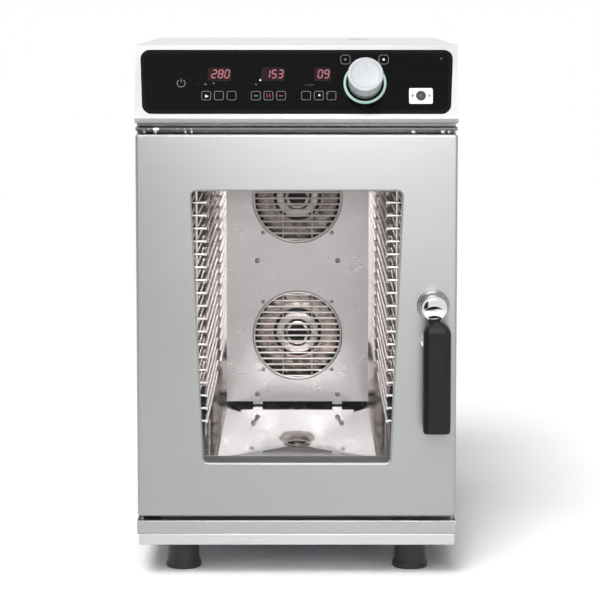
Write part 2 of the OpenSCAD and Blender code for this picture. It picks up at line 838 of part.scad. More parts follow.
// Square frame of the cooling fan with the strut that carries its rotor
module cooling_fan_frame() {
    y0 = rear_y - cool_d;
    s = cool_r + 4;
    color("black") on_door_face() {
        difference() {
            span([cool_x - s, y0, cool_z - s], [cool_x + s, rear_y, cool_z + s]);
            rod_y(cool_x, cool_z, cool_r, y0 - cut, rear_y + cut);
        }
        difference() {
            union() {
                rod_y(cool_x, cool_z, cool_hub_r, rear_y - 6, rear_y - 1);
                span([cool_x - cool_r - 1, rear_y - 5, cool_z - 3],
                     [cool_x + cool_r + 1, rear_y - 2, cool_z + 3]);
                span([cool_x - 3, rear_y - 5, cool_z - cool_r - 1],
                     [cool_x + 3, rear_y - 2, cool_z + cool_r + 1]);
            }
            rod_y(cool_x, cool_z, cool_shaft_r + run, rear_y - 7, rear_y);
        }
    }
}

// Seven-bladed rotor of the cooling fan
module cooling_rotor() {
    color("dimgray") on_door_face() translate([cool_x, rear_y - cool_d, cool_z])
        rotate([-90, 0, 0]) {
            translate([0, 0, 2]) cylinder(r = cool_hub_r, h = cool_hub_len);
            translate([0, 0, 10]) cylinder(r = cool_shaft_r, h = cool_shaft_len);
            for (i = [0:6]) rotate(i * 360 / 7) translate([cool_hub_r - 1, -6, 6])
                rotate([38, 0, 0]) cube([cool_r - cool_hub_r - 2, cool_blade_w, cool_blade_t]);
        }
}

board_t = 1.6;
board_up = 10;
board_half = 80;
board_y0 = 190;
board_y1 = 390;
board_post_in = 10;
board_post_r = 4;
relay_size = [20, 28, 22.4];
relay_pitch = 28;
relay_in = [12, 15];
coil_size = [60, 50, 38.4];
coil_in = [20, 110];
fin_size = [46, 3, 30.4];
fin_pitch = 10;
fin_in = [100, 110];

// Power board with its relays, transformer and heat sink
module power_board() {
    post_half = board_half - board_post_in;
    color("green") on_door_face() translate([0, 0, deck_z + sheet_t]) {
        for (x = [-post_half, post_half], y = [board_y0 + board_post_in, board_y1 - board_post_in])
            rod_z(x, y, board_post_r, 0, board_up);
        translate([-board_half, board_y0, board_up]) {
            cube([2 * board_half, board_y1 - board_y0, board_t]);
            translate([0, 0, board_t]) {
                for (i = [0:4]) translate(relay_in + [i * relay_pitch, 0]) cube(relay_size);
                translate(coil_in) cube(coil_size);
                for (i = [0:5]) translate(fin_in + [0, i * fin_pitch]) cube(fin_size);
            }
        }
    }
}

// Gland of the mains cable with its open bore
module cable_gland() {
    color("black") on_door_face() difference() {
        union() {
            rod_y(gland_x, gland_z, gland_r - 3, rear_y - 14, body_d);
            rod_y(gland_x, gland_z, gland_r, body_d, body_d + 16);
            translate([gland_x, rear_y - 8, gland_z]) rotate([-90, 0, 0])
                cylinder(r = gland_r + 2, h = 8, $fn = 6);
        }
        rod_y(gland_x, gland_z, gland_bore_r, rear_y - 20, body_d + 20);
    }
}

// ---- Control panel ----

// Cross-section of the panel housing in Y and Z, with a wall taken off when t is not 0
function fascia_outline(t) =
    let (z0 = fascia_z0 + t, z1 = top_z - t, s = t / cos(lean), y_in = t == 0 ? frame_y : frame_y + cut)
    [[y_in, z0], [bevel_in + t, z0], [s, fascia_z0 + bevel_h],
     [s + (z1 - fascia_z0 - bevel_h) * tan(lean), z1], [y_in, z1]];

// Extrudes an outline drawn in Y and Z along X from x0 to x1
module along_x(x0, x1) {
    translate([x0, 0, 0]) rotate([90, 0, 90]) linear_extrude(x1 - x0) children();
}

// Outline of the glass in X and up the slope, grown by g
module glass_outline(g) {
    translate([0, glass_v0]) polygon(rounded(grown(glass_low_w, glass_top_w, glass_h, g), 14.5 + g));
}

// Housing of the control panel with the opening for the glass
module fascia() {
    color("silver") on_door_face() difference() {
        along_x(-half_w, half_w) polygon(fascia_outline(0));
        along_x(-half_w + sheet_t, half_w - sheet_t) polygon(fascia_outline(sheet_t));
        on_panel() translate([0, 0, -2 * sheet_t]) linear_extrude(4 * sheet_t) glass_outline(seat);
    }
}

glass_w0 = glass_proud - glass_t;
encoder_bush_r = 6;
knob_shaft_r = 4;
probe_x = 199.1;
probe_v = 37.4;
probe_plate = [38.6, 26.9, 2];
probe_r = 8;
probe_barrel_r = 6;
probe_bore_r = 3.2;
probe_depth = 15;

// Holes that the knob's bush and the probe socket need, through the sheets from w0 to w1
module panel_holes(w0, w1) {
    translate([knob_x, knob_v, w0]) cylinder(r = encoder_bush_r + seat, h = w1 - w0);
    translate([probe_x, probe_v, w0]) cylinder(r = probe_barrel_r + seat, h = w1 - w0);
}

// Black glass of the control panel
module control_glass() {
    color("black") on_door_face() on_panel() difference() {
        translate([0, 0, glass_w0]) linear_extrude(glass_t) glass_outline(0);
        panel_holes(glass_w0 - cut, glass_proud + cut);
    }
}

carrier_t = 2;
carrier_rim = 4;
carrier_w0 = glass_w0 - carrier_t;
display_x = [-119, -38, 42];
display_v = 84;
display_size = [34, 17, 7];

// Tray that holds the glass against the housing, with a window for each display
module glass_carrier() {
    color("dimgray") on_door_face() on_panel() difference() {
        translate([0, 0, carrier_w0]) linear_extrude(-sheet_t - run - carrier_w0)
            glass_outline(carrier_rim);
        translate([0, 0, glass_w0]) linear_extrude(glass_t) glass_outline(seat);
        panel_holes(carrier_w0 - cut, glass_w0 + cut);
        for (x = display_x) translate([x, display_v, carrier_w0])
            cube(display_size + [1, 1, 4], center = true);
    }
}

board_w1 = carrier_w0 - 8;
board_x = [-160, 150];
board_v = [14, 104];

// Control board on its pillars, with the three displays and the encoder of the knob
module control_board() {
    color("darkgreen") on_door_face() on_panel() {
        translate([0, 0, board_w1 - board_t]) linear_extrude(board_t)
            polygon(box2(board_x[0], board_v[0], board_x[1], board_v[1]));
        for (x = [board_x[0] + 8, 0, board_x[1] - 8], v = [board_v[0] + 6, board_v[1] - 6])
            translate([x, v, board_w1]) cylinder(r = 3, h = 8);
        for (x = display_x)
            translate([x - display_size[0] / 2, display_v - display_size[1] / 2, board_w1])
                cube([display_size[0], display_size[1], glass_w0 - 0.2 - board_w1]);
        difference() {
            union() {
                translate([knob_x - 10, knob_v - 10, board_w1]) cube([20, 20, carrier_w0 - seat - board_w1]);
                translate([knob_x, knob_v, board_w1]) cylinder(r = encoder_bush_r, h = 1.5 - board_w1);
            }
            translate([knob_x, knob_v, board_w1 + 0.5]) cylinder(r = knob_shaft_r + run, h = 30);
        }
    }
}

shaft_w0 = board_w1 + 2.5;
knob_w0 = glass_proud + 2;
knob_w1 = glass_proud + knob_out;
knob_r = knob_d / 2;
knob_base_r = knob_r - 1.5;
knob_wall = 2.5;
boss_r = 8;
knob_bore_w1 = knob_w1 - 8;

// Shaft that carries the knob and is pushed in with it
module encoder_shaft() {
    color("silver") on_door_face() on_panel() translate([knob_x, knob_v, shaft_w0])
        cylinder(r = knob_shaft_r, h = knob_bore_w1 - 0.5 - shaft_w0);
}

// Hollow knob with a flat face and a boss on the shaft
module knob() {
    edge = 3;
    color("whitesmoke") on_door_face() on_panel() translate([knob_x, knob_v, 0])
        rotate_extrude($fn = 96) polygon(concat(
            [[knob_base_r - knob_wall, knob_w0], [knob_base_r, knob_w0]],
            [for (a = [0:15:90]) [knob_r - edge + edge * cos(a), knob_w1 - edge + edge * sin(a)]],
            [[0, knob_w1], [0, knob_bore_w1], [knob_shaft_r + run, knob_bore_w1],
             [knob_shaft_r + run, knob_w0 + 4], [boss_r, knob_w0 + 4], [boss_r, knob_w1 - 6],
             [knob_r - knob_wall, knob_w1 - 6]]));
}

ring_r = 34.4;
ring_in_r = 30.6;

// Translucent light ring round the knob's foot
module knob_light_ring() {
    color("paleturquoise") on_door_face() on_panel() translate([knob_x, knob_v, glass_proud])
        rotate_extrude($fn = 96) polygon([[ring_in_r, 0], [ring_r, 0], [ring_r, 2.5],
            [ring_r - 1.2, 3.6], [ring_in_r + 0.8, 3.6], [ring_in_r, 2.8]]);
}

// Core probe socket: plate, round socket and two screws
module probe_socket() {
    w = glass_proud;
    color("white") on_door_face() on_panel() translate([probe_x, probe_v, 0]) {
        difference() {
            translate([0, 0, w]) linear_extrude(probe_plate[2]) polygon(rounded(
                box2(-probe_plate[0] / 2, -probe_plate[1] / 2, probe_plate[0] / 2, probe_plate[1] / 2), 2));
            translate([0, 0, w - cut]) cylinder(r = probe_barrel_r + run, h = 5);
        }
        difference() {
            union() {
                translate([0, 0, w + probe_plate[2]]) cylinder(r = probe_r, h = 2);
                translate([0, 0, w + probe_plate[2] - probe_depth - 2])
                    cylinder(r = probe_barrel_r, h = probe_depth + 2);
            }
            translate([0, 0, w + probe_plate[2] + 2 - probe_depth])
                cylinder(r = probe_bore_r, h = probe_depth + cut);
        }
        for (x = [-13.3, 13.3]) translate([x, 0, w + probe_plate[2]]) cylinder(r = 2.4, h = 1);
    }
}

// ---- Door ----

bracket_t = 3.5;
bracket_half = 12;
bracket_x0 = pin_x - bracket_half;
bracket_x1 = bracket_x0 + 33;
pin_spigot_r = 4;
collar_r = 8;
pin_len = 20;
low_bracket_z1 = door_z0 - 1.5;
bush_half = 12;
bush_h = 18;

// Upper and lower bracket that hold the door's pins
module hinge_brackets() {
    color("dimgray") on_door_face() difference() {
        union() {
            span([bracket_x0, pin_y - bracket_half, rail_z0 - bracket_t], [bracket_x1, frame_y, rail_z0]);
            span([bracket_x0, pin_y - bracket_half, low_bracket_z1 - bracket_t],
                 [bracket_x1, frame_y, low_bracket_z1]);
            span([bracket_x0, tray_depth + 1, sill_z1 + 1], [bracket_x1, frame_y, low_bracket_z1]);
        }
        for (z = [low_bracket_z1, rail_z0])
            rod_z(pin_x, pin_y, pin_spigot_r + run, z - bracket_t - cut, z + cut);
    }
}

// Shouldered pins that the door turns on
module hinge_pins() {
    up_z = rail_z0 - bracket_t;
    color("silver") on_door_face() {
        rod_z(pin_x, pin_y, pin_spigot_r, low_bracket_z1 - bracket_t, low_bracket_z1 + 1);
        rod_z(pin_x, pin_y, collar_r, low_bracket_z1, door_z0 - seat);
        rod_z(pin_x, pin_y, pin_r, low_bracket_z1, door_z0 + pin_len);
        rod_z(pin_x, pin_y, pin_spigot_r, up_z - 1, rail_z0);
        rod_z(pin_x, pin_y, collar_r, door_z1 + seat, up_z);
        rod_z(pin_x, pin_y, pin_r, door_z1 - pin_len, up_z);
    }
}

spindle_r = 6;

// Window outline in X and Z, grown by g
module window_outline(g) {
    translate([0, window_z0])
        polygon(rounded(grown(window_low_w, window_top_w, window_h, g), 8 + g));
}

// Stainless front of the door with its returns and the two bushes for the pins
module door_shell() {
    hw = door_w / 2;
    color("silver") on_door_face() difference() {
        union() {
            difference() {
                span([-hw, 0, door_z0], [hw, door_t - sheet_t, door_z1]);
                span([-hw + sheet_t, sheet_t, door_z0 + sheet_t],
                     [hw - sheet_t, door_t, door_z1 - sheet_t]);
            }
            for (z = [door_z0 + sheet_t / 2, door_z1 - sheet_t / 2 - bush_h])
                span([-hw + sheet_t / 2, pin_y - bush_half, z],
                     [pin_x + bush_half, pin_y + bush_half, z + bush_h]);
        }
        along_y(-cut, sheet_t + cut) window_outline(0);
        rod_y(hub_x, hub_z, spindle_r + seat, -cut, door_t);
        for (z = [door_z0 - cut, door_z1 - pin_len - 2])
            rod_z(pin_x, pin_y, pin_r + run, z, z + pin_len + 2 + cut);
    }
}

glass_z0 = cav_z0 + 4;
glass_z1 = cav_z1 - 30;
half_glass = inner_glass_w / 2;
ledge = 8;
ledge_t = 2;
ledge_y = door_t - inner_glass_t - ledge_t;

// Rear sheet of the door with the ledge that the inner glass lies in
module door_liner() {
    hw = door_w / 2;
    g = seat;
    color("silver") on_door_face() difference() {
        union() {
            span([-hw, door_t - sheet_t, door_z0], [hw, door_t, door_z1]);
            span([-half_glass - 3, ledge_y, glass_z0 - 3], [half_glass + 3, door_t, glass_z1 + 3]);
        }
        span([-half_glass - g, ledge_y + ledge_t, glass_z0 - g],
             [half_glass + g, door_t + cut, glass_z1 + g]);
        span([-half_glass + ledge, ledge_y - cut, glass_z0 + ledge],
             [half_glass - ledge, door_t, glass_z1 - ledge]);
        rod_y(hub_x, hub_z, spindle_r + seat, ledge_y - cut, door_t + cut);
        for (z = clip_z) rod_y(clip_x, z, clip_pin_r + run, door_t - 2 * sheet_t, door_t + cut);
    }
}

glass_lap = 14;

// Outer glass behind the door's front
module outer_glass() {
    color("lightblue", 0.35) on_door_face()
        along_y(sheet_t, sheet_t + outer_glass_t) window_outline(glass_lap);
}

// Inner glass in its ledge
module inner_glass() {
    color("lightblue", 0.35) on_door_face()
        span([-half_glass, ledge_y + ledge_t, glass_z0], [half_glass, door_t, glass_z1]);
}

clip_x = half_glass + 7;
clip_z = [glass_z0 + 70, glass_z1 - 70];
clip_pin_r = 2.5;
clip_t = 2;

// Turn button that holds the inner glass in the door
module glass_clip(z) {
    y0 = door_t + seat;
    color("gray") on_door_face() {
        rod_y(clip_x, z, clip_pin_r, door_t - sheet_t, y0 + clip_t);
        rod_y(clip_x, z, 6, y0, y0 + clip_t);
        span([clip_x - 17, y0, z - 5], [clip_x, y0 + clip_t, z + 5]);
    }
}

module glass_clip_lower() { glass_clip(clip_z[0]); }
module glass_clip_upper() { glass_clip(clip_z[1]); }

// Light strips on both sides of the window, between the glasses
module door_lamps() {
    y0 = ledge_y - 12;
    color("white") on_door_face() for (side = [0, 1]) mirror([side, 0, 0])
        span([half_glass - 6, y0, window_z0 + 10], [half_glass + 3, ledge_y, window_z0 + window_h - 10]);
}

gasket_w = 10;

// Rubber gasket on the rim of the chamber's mouth
module door_gasket() {
    color("black") on_door_face() difference() {
        along_y(door_t + seat, frame_y) chamber_outline(1 + gasket_w);
        along_y(door_t, frame_y + cut) chamber_outline(1);
    }
}

hook_y = cav_y0 + 3;
hook_t = 4;
spindle_end_r = 3;
base_r = 26.5;
base_t = 3;
hub_y0 = -42;
hub_round = 5;
hub_neck_d = 10;
arm_half = 9;
arm_len = 90;
grip_z1 = hub_z - 19;
grip_z0 = grip_z1 - grip_len;
grip_x = hub_x + 4.5;
grip_back_y = -24;
core_y = [-40, -30];

// Round plate on the door round the handle's hub
module handle_base() {
    color("silver") on_door_face() translate([hub_x, 0, hub_z]) rotate([90, 0, 0]) difference() {
        cylinder(r1 = base_r, r2 = base_r - 2, h = base_t);
        translate([0, 0, -cut]) cylinder(r = spindle_r + run, h = base_t + 2 * cut);
    }
}

// Chrome hub with its spindle, and the arm that runs down into the grip
module handle_hub() {
    neck_r = hub_r - hub_round;
    color("gainsboro") on_door_face() {
        translate([hub_x, 0, hub_z]) rotate([90, 0, 0]) rotate_extrude($fn = 64) polygon(concat(
            [[0, base_t + seat], [neck_r, base_t + seat], [neck_r, hub_neck_d], [hub_r, hub_neck_d + 6]],
            [for (a = [0:15:90]) [neck_r, -hub_y0 - hub_round] + hub_round * [cos(a), sin(a)]],
            [[0, -hub_y0]]));
        rod_y(hub_x, hub_z, spindle_r, -base_t - 1, hook_y - seat);
        rod_y(hub_x, hub_z, spindle_end_r, hook_y - 1, hook_y + hook_t + 2);
        span([hub_x - arm_half, core_y[0], grip_z1 - arm_len], [hub_x + arm_half, core_y[1], hub_z - 4]);
    }
}

// Black grip: a long rounded bar with an arched top
module handle_grip() {
    hw = grip_w / 2;
    color("black") on_door_face() difference() {
        hull() {
            for (x = [-1, 1]) {
                translate([grip_x + x * (hw - 9), grip_back_y - 9, grip_z0 + 4])
                    cylinder(r = 9, h = grip_len - hw, $fn = 32);
                translate([grip_x + x * (hw - 11), -handle_out + 8, grip_z0 + 4])
                    cylinder(r = 8, h = grip_len - hw, $fn = 32);
                translate([grip_x + x * (hw - 13), grip_back_y - 12, grip_z0])
                    cylinder(r = 9, h = 2, $fn = 32);
            }
            translate([grip_x, grip_back_y - 8, grip_z1 - hw + 4]) rotate([90, 0, 0])
                cylinder(r = hw - 5, h = handle_out + grip_back_y - 16, $fn = 32);
        }
        span([hub_x - arm_half - seat, core_y[0] - seat, grip_z1 - arm_len - seat],
             [hub_x + arm_half + seat, core_y[1] + seat, hub_z]);
        rod_y(hub_x, hub_z, hub_r + seat, -handle_out - cut, 0);
    }
}

// Latch plate on the spindle's end, behind the keeper slot
module latch_hook() {
    color("gray") on_door_face() difference() {
        span([hub_x - 4.5, hook_y, hub_z - hook_half_len],
             [hub_x + 4.5, hook_y + hook_t, hub_z + hook_half_len]);
        rod_y(hub_x, hub_z, spindle_end_r + run, hook_y - cut, hook_y + hook_t + cut);
    }
}

base_frame();
foot_front_left();
foot_front_right();
foot_rear_left();
foot_rear_right();
side_panel_left();
side_panel_right();
roof_panel();
rear_panel();
front_sill();
drip_tray();
front_frame();
door_rail();
cavity();
insulation();
service_deck();
rack_studs();
rack_left();
rack_right();
fan_baffle();
fan_guards();
fan_wheel_upper();
fan_wheel_lower();
motor_bulkhead();
fan_motors();
heaters();
water_valve();
steam_pipes();
drain_pipe();
drain_strainer();
vent_duct();
vent_flap();
vent_actuator();
cooling_fan_frame();
cooling_rotor();
power_board();
cable_gland();
fascia();
control_glass();
glass_carrier();
control_board();
encoder_shaft();
knob();
knob_light_ring();
probe_socket();
hinge_brackets();
hinge_pins();
door_shell();
door_liner();
outer_glass();
inner_glass();
glass_clip_upper();
glass_clip_lower();
door_lamps();
door_gasket();
handle_base();
handle_hub();
handle_grip();
latch_hook();
case_screws();
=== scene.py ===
import json
import math

import bmesh
import bpy
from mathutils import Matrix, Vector


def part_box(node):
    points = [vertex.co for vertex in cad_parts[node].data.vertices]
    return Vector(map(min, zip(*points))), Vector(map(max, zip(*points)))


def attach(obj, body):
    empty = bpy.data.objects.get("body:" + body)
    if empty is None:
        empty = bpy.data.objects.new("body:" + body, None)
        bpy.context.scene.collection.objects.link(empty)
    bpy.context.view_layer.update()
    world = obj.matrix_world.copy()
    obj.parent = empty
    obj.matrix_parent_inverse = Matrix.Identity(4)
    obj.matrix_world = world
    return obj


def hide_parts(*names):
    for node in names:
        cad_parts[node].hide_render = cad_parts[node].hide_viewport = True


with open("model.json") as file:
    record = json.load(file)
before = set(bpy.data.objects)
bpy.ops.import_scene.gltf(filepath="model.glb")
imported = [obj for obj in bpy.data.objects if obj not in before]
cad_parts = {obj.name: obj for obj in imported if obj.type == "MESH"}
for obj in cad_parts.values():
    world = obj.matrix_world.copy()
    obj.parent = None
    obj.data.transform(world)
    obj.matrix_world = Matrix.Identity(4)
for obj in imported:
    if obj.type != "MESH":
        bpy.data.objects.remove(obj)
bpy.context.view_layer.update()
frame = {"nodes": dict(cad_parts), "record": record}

MM = 0.001


# ---- Camera and light ----

# Fitted to the photograph's viewing angle: millimetres, metres and degrees
CAMERA_LENS = 149.08
CAMERA_PLACE = (0.0099, -4.3452, 0.9424)
CAMERA_DOWN = 6.14
CAMERA_LEFT = 0.064


def add_camera():
    """Camera of the front view: 4 m in front of the door, a little above the roof, tilted down."""
    camera = bpy.data.cameras.new("camera")
    camera.sensor_width = 36.0
    camera.lens = CAMERA_LENS
    camera.shift_y = -0.06
    camera.clip_end = 200.0
    holder = bpy.data.objects.new("camera", camera)
    holder.location = CAMERA_PLACE
    holder.rotation_euler = (math.radians(90.0 - CAMERA_DOWN), 0.0, math.radians(CAMERA_LEFT))
    bpy.context.scene.collection.objects.link(holder)
    bpy.context.scene.camera = holder


def add_light(name, size, location, target, power, color=(1.0, 1.0, 1.0), matt=1.0):
    """Rectangular softbox that faces its target; matt is its share on matt surfaces."""
    lamp = bpy.data.lights.new(name, "AREA")
    lamp.shape = "RECTANGLE"
    lamp.size, lamp.size_y = size
    lamp.energy = power
    lamp.diffuse_factor = matt
    lamp.color = color
    holder = bpy.data.objects.new(name, lamp)
    holder.location = location
    aim = Vector(target) - Vector(location)
    holder.rotation_euler = aim.to_track_quat("-Z", "Y").to_euler()
    bpy.context.scene.collection.objects.link(holder)


# ---- Node helpers ----

class Nodes:
    """Short calls that add nodes to a tree. Each input is a value or another node's output."""

    def __init__(self, tree):
        self.tree = tree

    def add(self, kind, inputs=None, **settings):
        node = self.tree.nodes.new(kind)
        for key, value in settings.items():
            setattr(node, key, value)
        for key, value in (inputs or {}).items():
            if isinstance(value, bpy.types.NodeSocket):
                self.tree.links.new(value, node.inputs[key])
            else:
                node.inputs[key].default_value = value
        return node

    def place(self, scale=(1.0, 1.0, 1.0)):
        """Object coordinates, in metres of the row's frame, stretched by scale."""
        coords = self.add("ShaderNodeTexCoord")
        mapping = self.add("ShaderNodeMapping", {"Vector": coords.outputs["Object"], "Scale": scale})
        return mapping.outputs["Vector"]

    def noise(self, vector, scale, detail=3.0, roughness=0.5):
        return self.add(
            "ShaderNodeTexNoise",
            {"Vector": vector, "Scale": scale, "Detail": detail, "Roughness": roughness},
        ).outputs["Fac"]

    def spread(self, value, low, high, start=0.0, end=1.0):
        """Maps value from start..end to low..high."""
        return self.add(
            "ShaderNodeMapRange",
            {"Value": value, "From Min": start, "From Max": end, "To Min": low, "To Max": high},
        ).outputs["Result"]

    def math(self, operation, a, b=0.0):
        return self.add("ShaderNodeMath", {0: a, 1: b}, operation=operation).outputs["Value"]

    def product(self, *values):
        result = values[0]
        for value in values[1:]:
            result = self.math("MULTIPLY", result, value)
        return result

    def mix(self, factor, a, b):
        """Colour between a and b."""
        return self.add("ShaderNodeMix", {0: factor, 6: a, 7: b}, data_type="RGBA").outputs[2]


class Shader(Nodes):
    """A material under construction, with the constants and links of its surface."""

    def __init__(self, name, color, metallic, roughness, **sockets):
        self.material = bpy.data.materials.new(name)
        self.material.use_nodes = True
        self.material.diffuse_color = (*color, 1.0)
        super().__init__(self.material.node_tree)
        self.surface = self.tree.nodes["Principled BSDF"]
        sockets.update(base_color=(*color, 1.0), metallic=metallic, roughness=roughness)
        for key, value in sockets.items():
            self.surface.inputs[SOCKETS[key]].default_value = value

    def link(self, output, socket):
        self.tree.links.new(output, self.surface.inputs[SOCKETS[socket]])

    def bump(self, height, strength, distance, edge=0.0):
        """Normal from a height, on edges that the bevel node rounds by edge metres."""
        inputs = {"Height": height, "Strength": strength, "Distance": distance}
        if edge:
            inputs["Normal"] = self.add("ShaderNodeBevel", {"Radius": edge}, samples=4).outputs["Normal"]
        self.link(self.add("ShaderNodeBump", inputs).outputs["Normal"], "normal")


SOCKETS = {
    "base_color": "Base Color", "metallic": "Metallic", "roughness": "Roughness", "alpha": "Alpha",
    "normal": "Normal", "anisotropic": "Anisotropic", "anisotropic_rotation": "Anisotropic Rotation",
    "coat": "Coat Weight", "coat_roughness": "Coat Roughness", "specular": "Specular IOR Level",
    "emission": "Emission Color", "emission_strength": "Emission Strength", "sheen": "Sheen Weight",
}


# ---- Materials ----

# Where the chamber's painted shade fades in (near-black behind the baffle, a darker floor), in metres of
# the row's frame
SHADE_FADE = 25 * MM
GAP_HALF = (145 * MM, 155 * MM)
GAP_TOP = (190 * MM, 200 * MM)
CORNER_HALF = (184 * MM, 190 * MM)
FLOOR_SHADE_TOP = (184 * MM, 190 * MM)


def shade(color, factor):
    """Colour made darker or lighter."""
    return tuple(min(channel * factor, 1.0) for channel in color) + (1.0,)


def brushed_steel(name, color, roughness, along="x", anisotropic=0.5, edge=0.0):
    """Stainless sheet with a fine grain along X, Y or Z, faint mill clouds and hairline scratches."""
    s = Shader(name, color, 1.0, roughness, anisotropic=anisotropic, anisotropic_rotation=0.25)
    fine, long_ = 900.0, 6.0
    stretch = {"x": (long_, fine, fine), "y": (fine, long_, fine), "z": (fine, fine, long_)}[along]
    grain = s.noise(s.place(stretch), 1.0, 4.0, 0.62)
    clouds = s.noise(s.place(), 5.0, 2.0)
    scratch_scale = [axis * 0.25 for axis in stretch]
    scratches = s.spread(s.noise(s.place(scratch_scale), 1.0, 2.0), 0.0, 1.0, 0.66, 0.72)
    tone = s.math("ADD", s.spread(grain, -0.05, 0.05), s.spread(clouds, -0.03, 0.03))
    tone = s.math("ADD", tone, s.spread(scratches, 0.0, 0.03))
    s.link(s.mix(s.math("ADD", tone, 0.5), shade(color, 0.88), shade(color, 1.10)), "base_color")
    rough = s.math("ADD", s.spread(grain, -0.05, 0.05), s.spread(clouds, -0.02, 0.03))
    s.link(s.math("ADD", rough, roughness), "roughness")
    s.bump(grain, 0.035, 0.0004, edge)
    return s.material


def polished_steel(name, color, roughness, wave=0.15, wave_scale=14.0, edge=0.0, shade_from=None):
    """Bright chamber steel: soft waves from pressing, baked-on haze and fine scratches.
    Behind a given depth it has painted shade: near-black in the side recesses beside the baffle and in
    the gap at its foot, where shade falls. Its floor is darkened as painted shade."""
    s = Shader(name, color, 1.0, roughness)
    haze = s.noise(s.place(), 22.0, 5.0, 0.6)
    waves = s.noise(s.place(), wave_scale, 2.0)
    hair = s.noise(s.place((30.0, 30.0, 700.0)), 1.0, 2.0)
    clean = s.mix(s.spread(haze, 0.0, 0.5, 0.35, 0.7), (*color, 1.0), shade(color, 0.86))
    if shade_from is not None:
        x, y, z = s.add("ShaderNodeSeparateXYZ", {"Vector": s.place()}).outputs
        depth = s.spread(y, 0.0, 1.0, shade_from, shade_from + SHADE_FADE)
        aside = s.math("ABSOLUTE", x)
        gap = s.product(s.spread(aside, 1.0, 0.0, *GAP_HALF), s.spread(z, 1.0, 0.0, *GAP_TOP))
        corner = s.math("ADD", s.spread(aside, 0.0, 1.0, *CORNER_HALF), gap)
        # Painted shade: near-black behind the baffle, in the recesses beside it and in the gap at its
        # foot
        painted_black = s.mix(haze, (0.004, 0.003, 0.003, 1.0), (0.02, 0.017, 0.015, 1.0))
        clean = s.mix(s.product(depth, corner), clean, painted_black)
        # Painted shade: the floor, below a given height, is darker
        clean = s.mix(s.spread(z, 1.0, 0.0, *FLOOR_SHADE_TOP), clean, shade(color, 0.38))
    s.link(clean, "base_color")
    rough = s.math("ADD", s.spread(haze, -0.02, 0.04, 0.3, 0.75), s.spread(hair, -0.02, 0.03))
    s.link(s.math("ADD", rough, roughness), "roughness")
    s.bump(waves, wave, 0.01, edge)
    return s.material


def chrome(name):
    """Bright plating with faint smears."""
    s = Shader(name, (0.72, 0.73, 0.74), 1.0, 0.06)
    smear = s.noise(s.place(), 90.0, 4.0)
    s.link(s.spread(smear, 0.03, 0.12), "roughness")
    s.bump(smear, 0.02, 0.0003)
    return s.material


def moulded(name, color, roughness, grain_scale=2600.0, grain=0.12, edge=0.0, flank=None, **sockets):
    """Moulded plastic or rubber with a fine spark-eroded grain and worn, slightly glossier patches.
    Left of flank, an X, it has a black band of painted shade, standing in for a shaded side."""
    s = Shader(name, color, 0.0, roughness, **sockets)
    pits = s.noise(s.place(), grain_scale, 2.0)
    rub = s.noise(s.place(), 28.0, 3.0)
    tone = s.mix(rub, shade(color, 0.85), shade(color, 1.12))
    if flank is not None:
        # Painted shade: black band on the side left of flank
        x = s.add("ShaderNodeSeparateXYZ", {"Vector": s.place()}).outputs["X"]
        band = s.spread(x, 1.0, 0.0, flank, flank + 0.6 * MM)
        tone = s.mix(band, tone, (0.0005, 0.0005, 0.0005, 1.0))
    s.link(tone, "base_color")
    s.link(s.spread(rub, roughness - 0.06, roughness + 0.06, 0.3, 0.7), "roughness")
    s.bump(pits, grain, 0.0002, edge)
    return s.material


def black_glass(name):
    """Glass printed black behind, with a little dust."""
    s = Shader(name, (0.002, 0.002, 0.002), 0.0, 0.08, specular=0.11)
    dust = s.noise(s.place(), 160.0, 4.0, 0.7)
    s.link(s.spread(dust, 0.05, 0.16, 0.45, 0.75), "roughness")
    clean, dusty = (0.001, 0.001, 0.001, 1.0), (0.004, 0.004, 0.004, 1.0)
    s.link(s.mix(s.spread(dust, 0.0, 1.0, 0.6, 0.8), clean, dusty), "base_color")
    return s.material


def clear_glass(name, tint):
    """Thin glass: almost clear when seen straight on, with smears of cleaning."""
    s = Shader(name, tint, 0.0, 0.03)
    facing = s.add("ShaderNodeFresnel", {"IOR": 1.35}).outputs["Fac"]
    smear = s.noise(s.place((1.0, 1.0, 3.0)), 9.0, 4.0, 0.6)
    edge_on = s.spread(facing, 0.003, 0.7, 0.03, 0.9)
    s.link(s.math("ADD", s.spread(smear, 0.0, 0.004, 0.4, 0.8), edge_on), "alpha")
    s.material.surface_render_method = "BLENDED"
    return s.material


def glowing(name, color, strength, lens=(0.8, 0.8, 0.8)):
    """Lit diffuser, a little brighter where its chips sit."""
    s = Shader(name, lens, 0.0, 0.35, specular=0.1, emission=(*color, 1.0), emission_strength=strength)
    patchy = s.noise(s.place(), 60.0, 1.0)
    s.link(s.mix(patchy, shade(color, 0.86), (*color, 1.0)), "emission")
    return s.material


def mineral_wool(name):
    """Straw-coloured matted fibres."""
    s = Shader(name, (0.62, 0.55, 0.36), 0.0, 0.95, sheen=0.3)
    fibres = s.noise(s.place((60.0, 300.0, 300.0)), 1.0, 6.0, 0.7)
    s.link(s.mix(fibres, (0.42, 0.36, 0.22, 1.0), (0.78, 0.71, 0.50, 1.0)), "base_color")
    s.bump(fibres, 0.8, 0.003)
    return s.material


def galvanised(name, edge=0.0):
    """Zinc-coated sheet with its crystal spangle."""
    s = Shader(name, (0.52, 0.54, 0.56), 0.85, 0.42)
    cells = s.add("ShaderNodeTexVoronoi", {"Vector": s.place(), "Scale": 90.0})
    spangle = s.add("ShaderNodeSeparateColor", {"Color": cells.outputs["Color"]}).outputs["Red"]
    s.link(s.mix(spangle, (0.40, 0.42, 0.45, 1.0), (0.62, 0.64, 0.66, 1.0)), "base_color")
    s.link(s.spread(spangle, 0.34, 0.52), "roughness")
    s.bump(spangle, 0.03, 0.0004, edge)
    return s.material


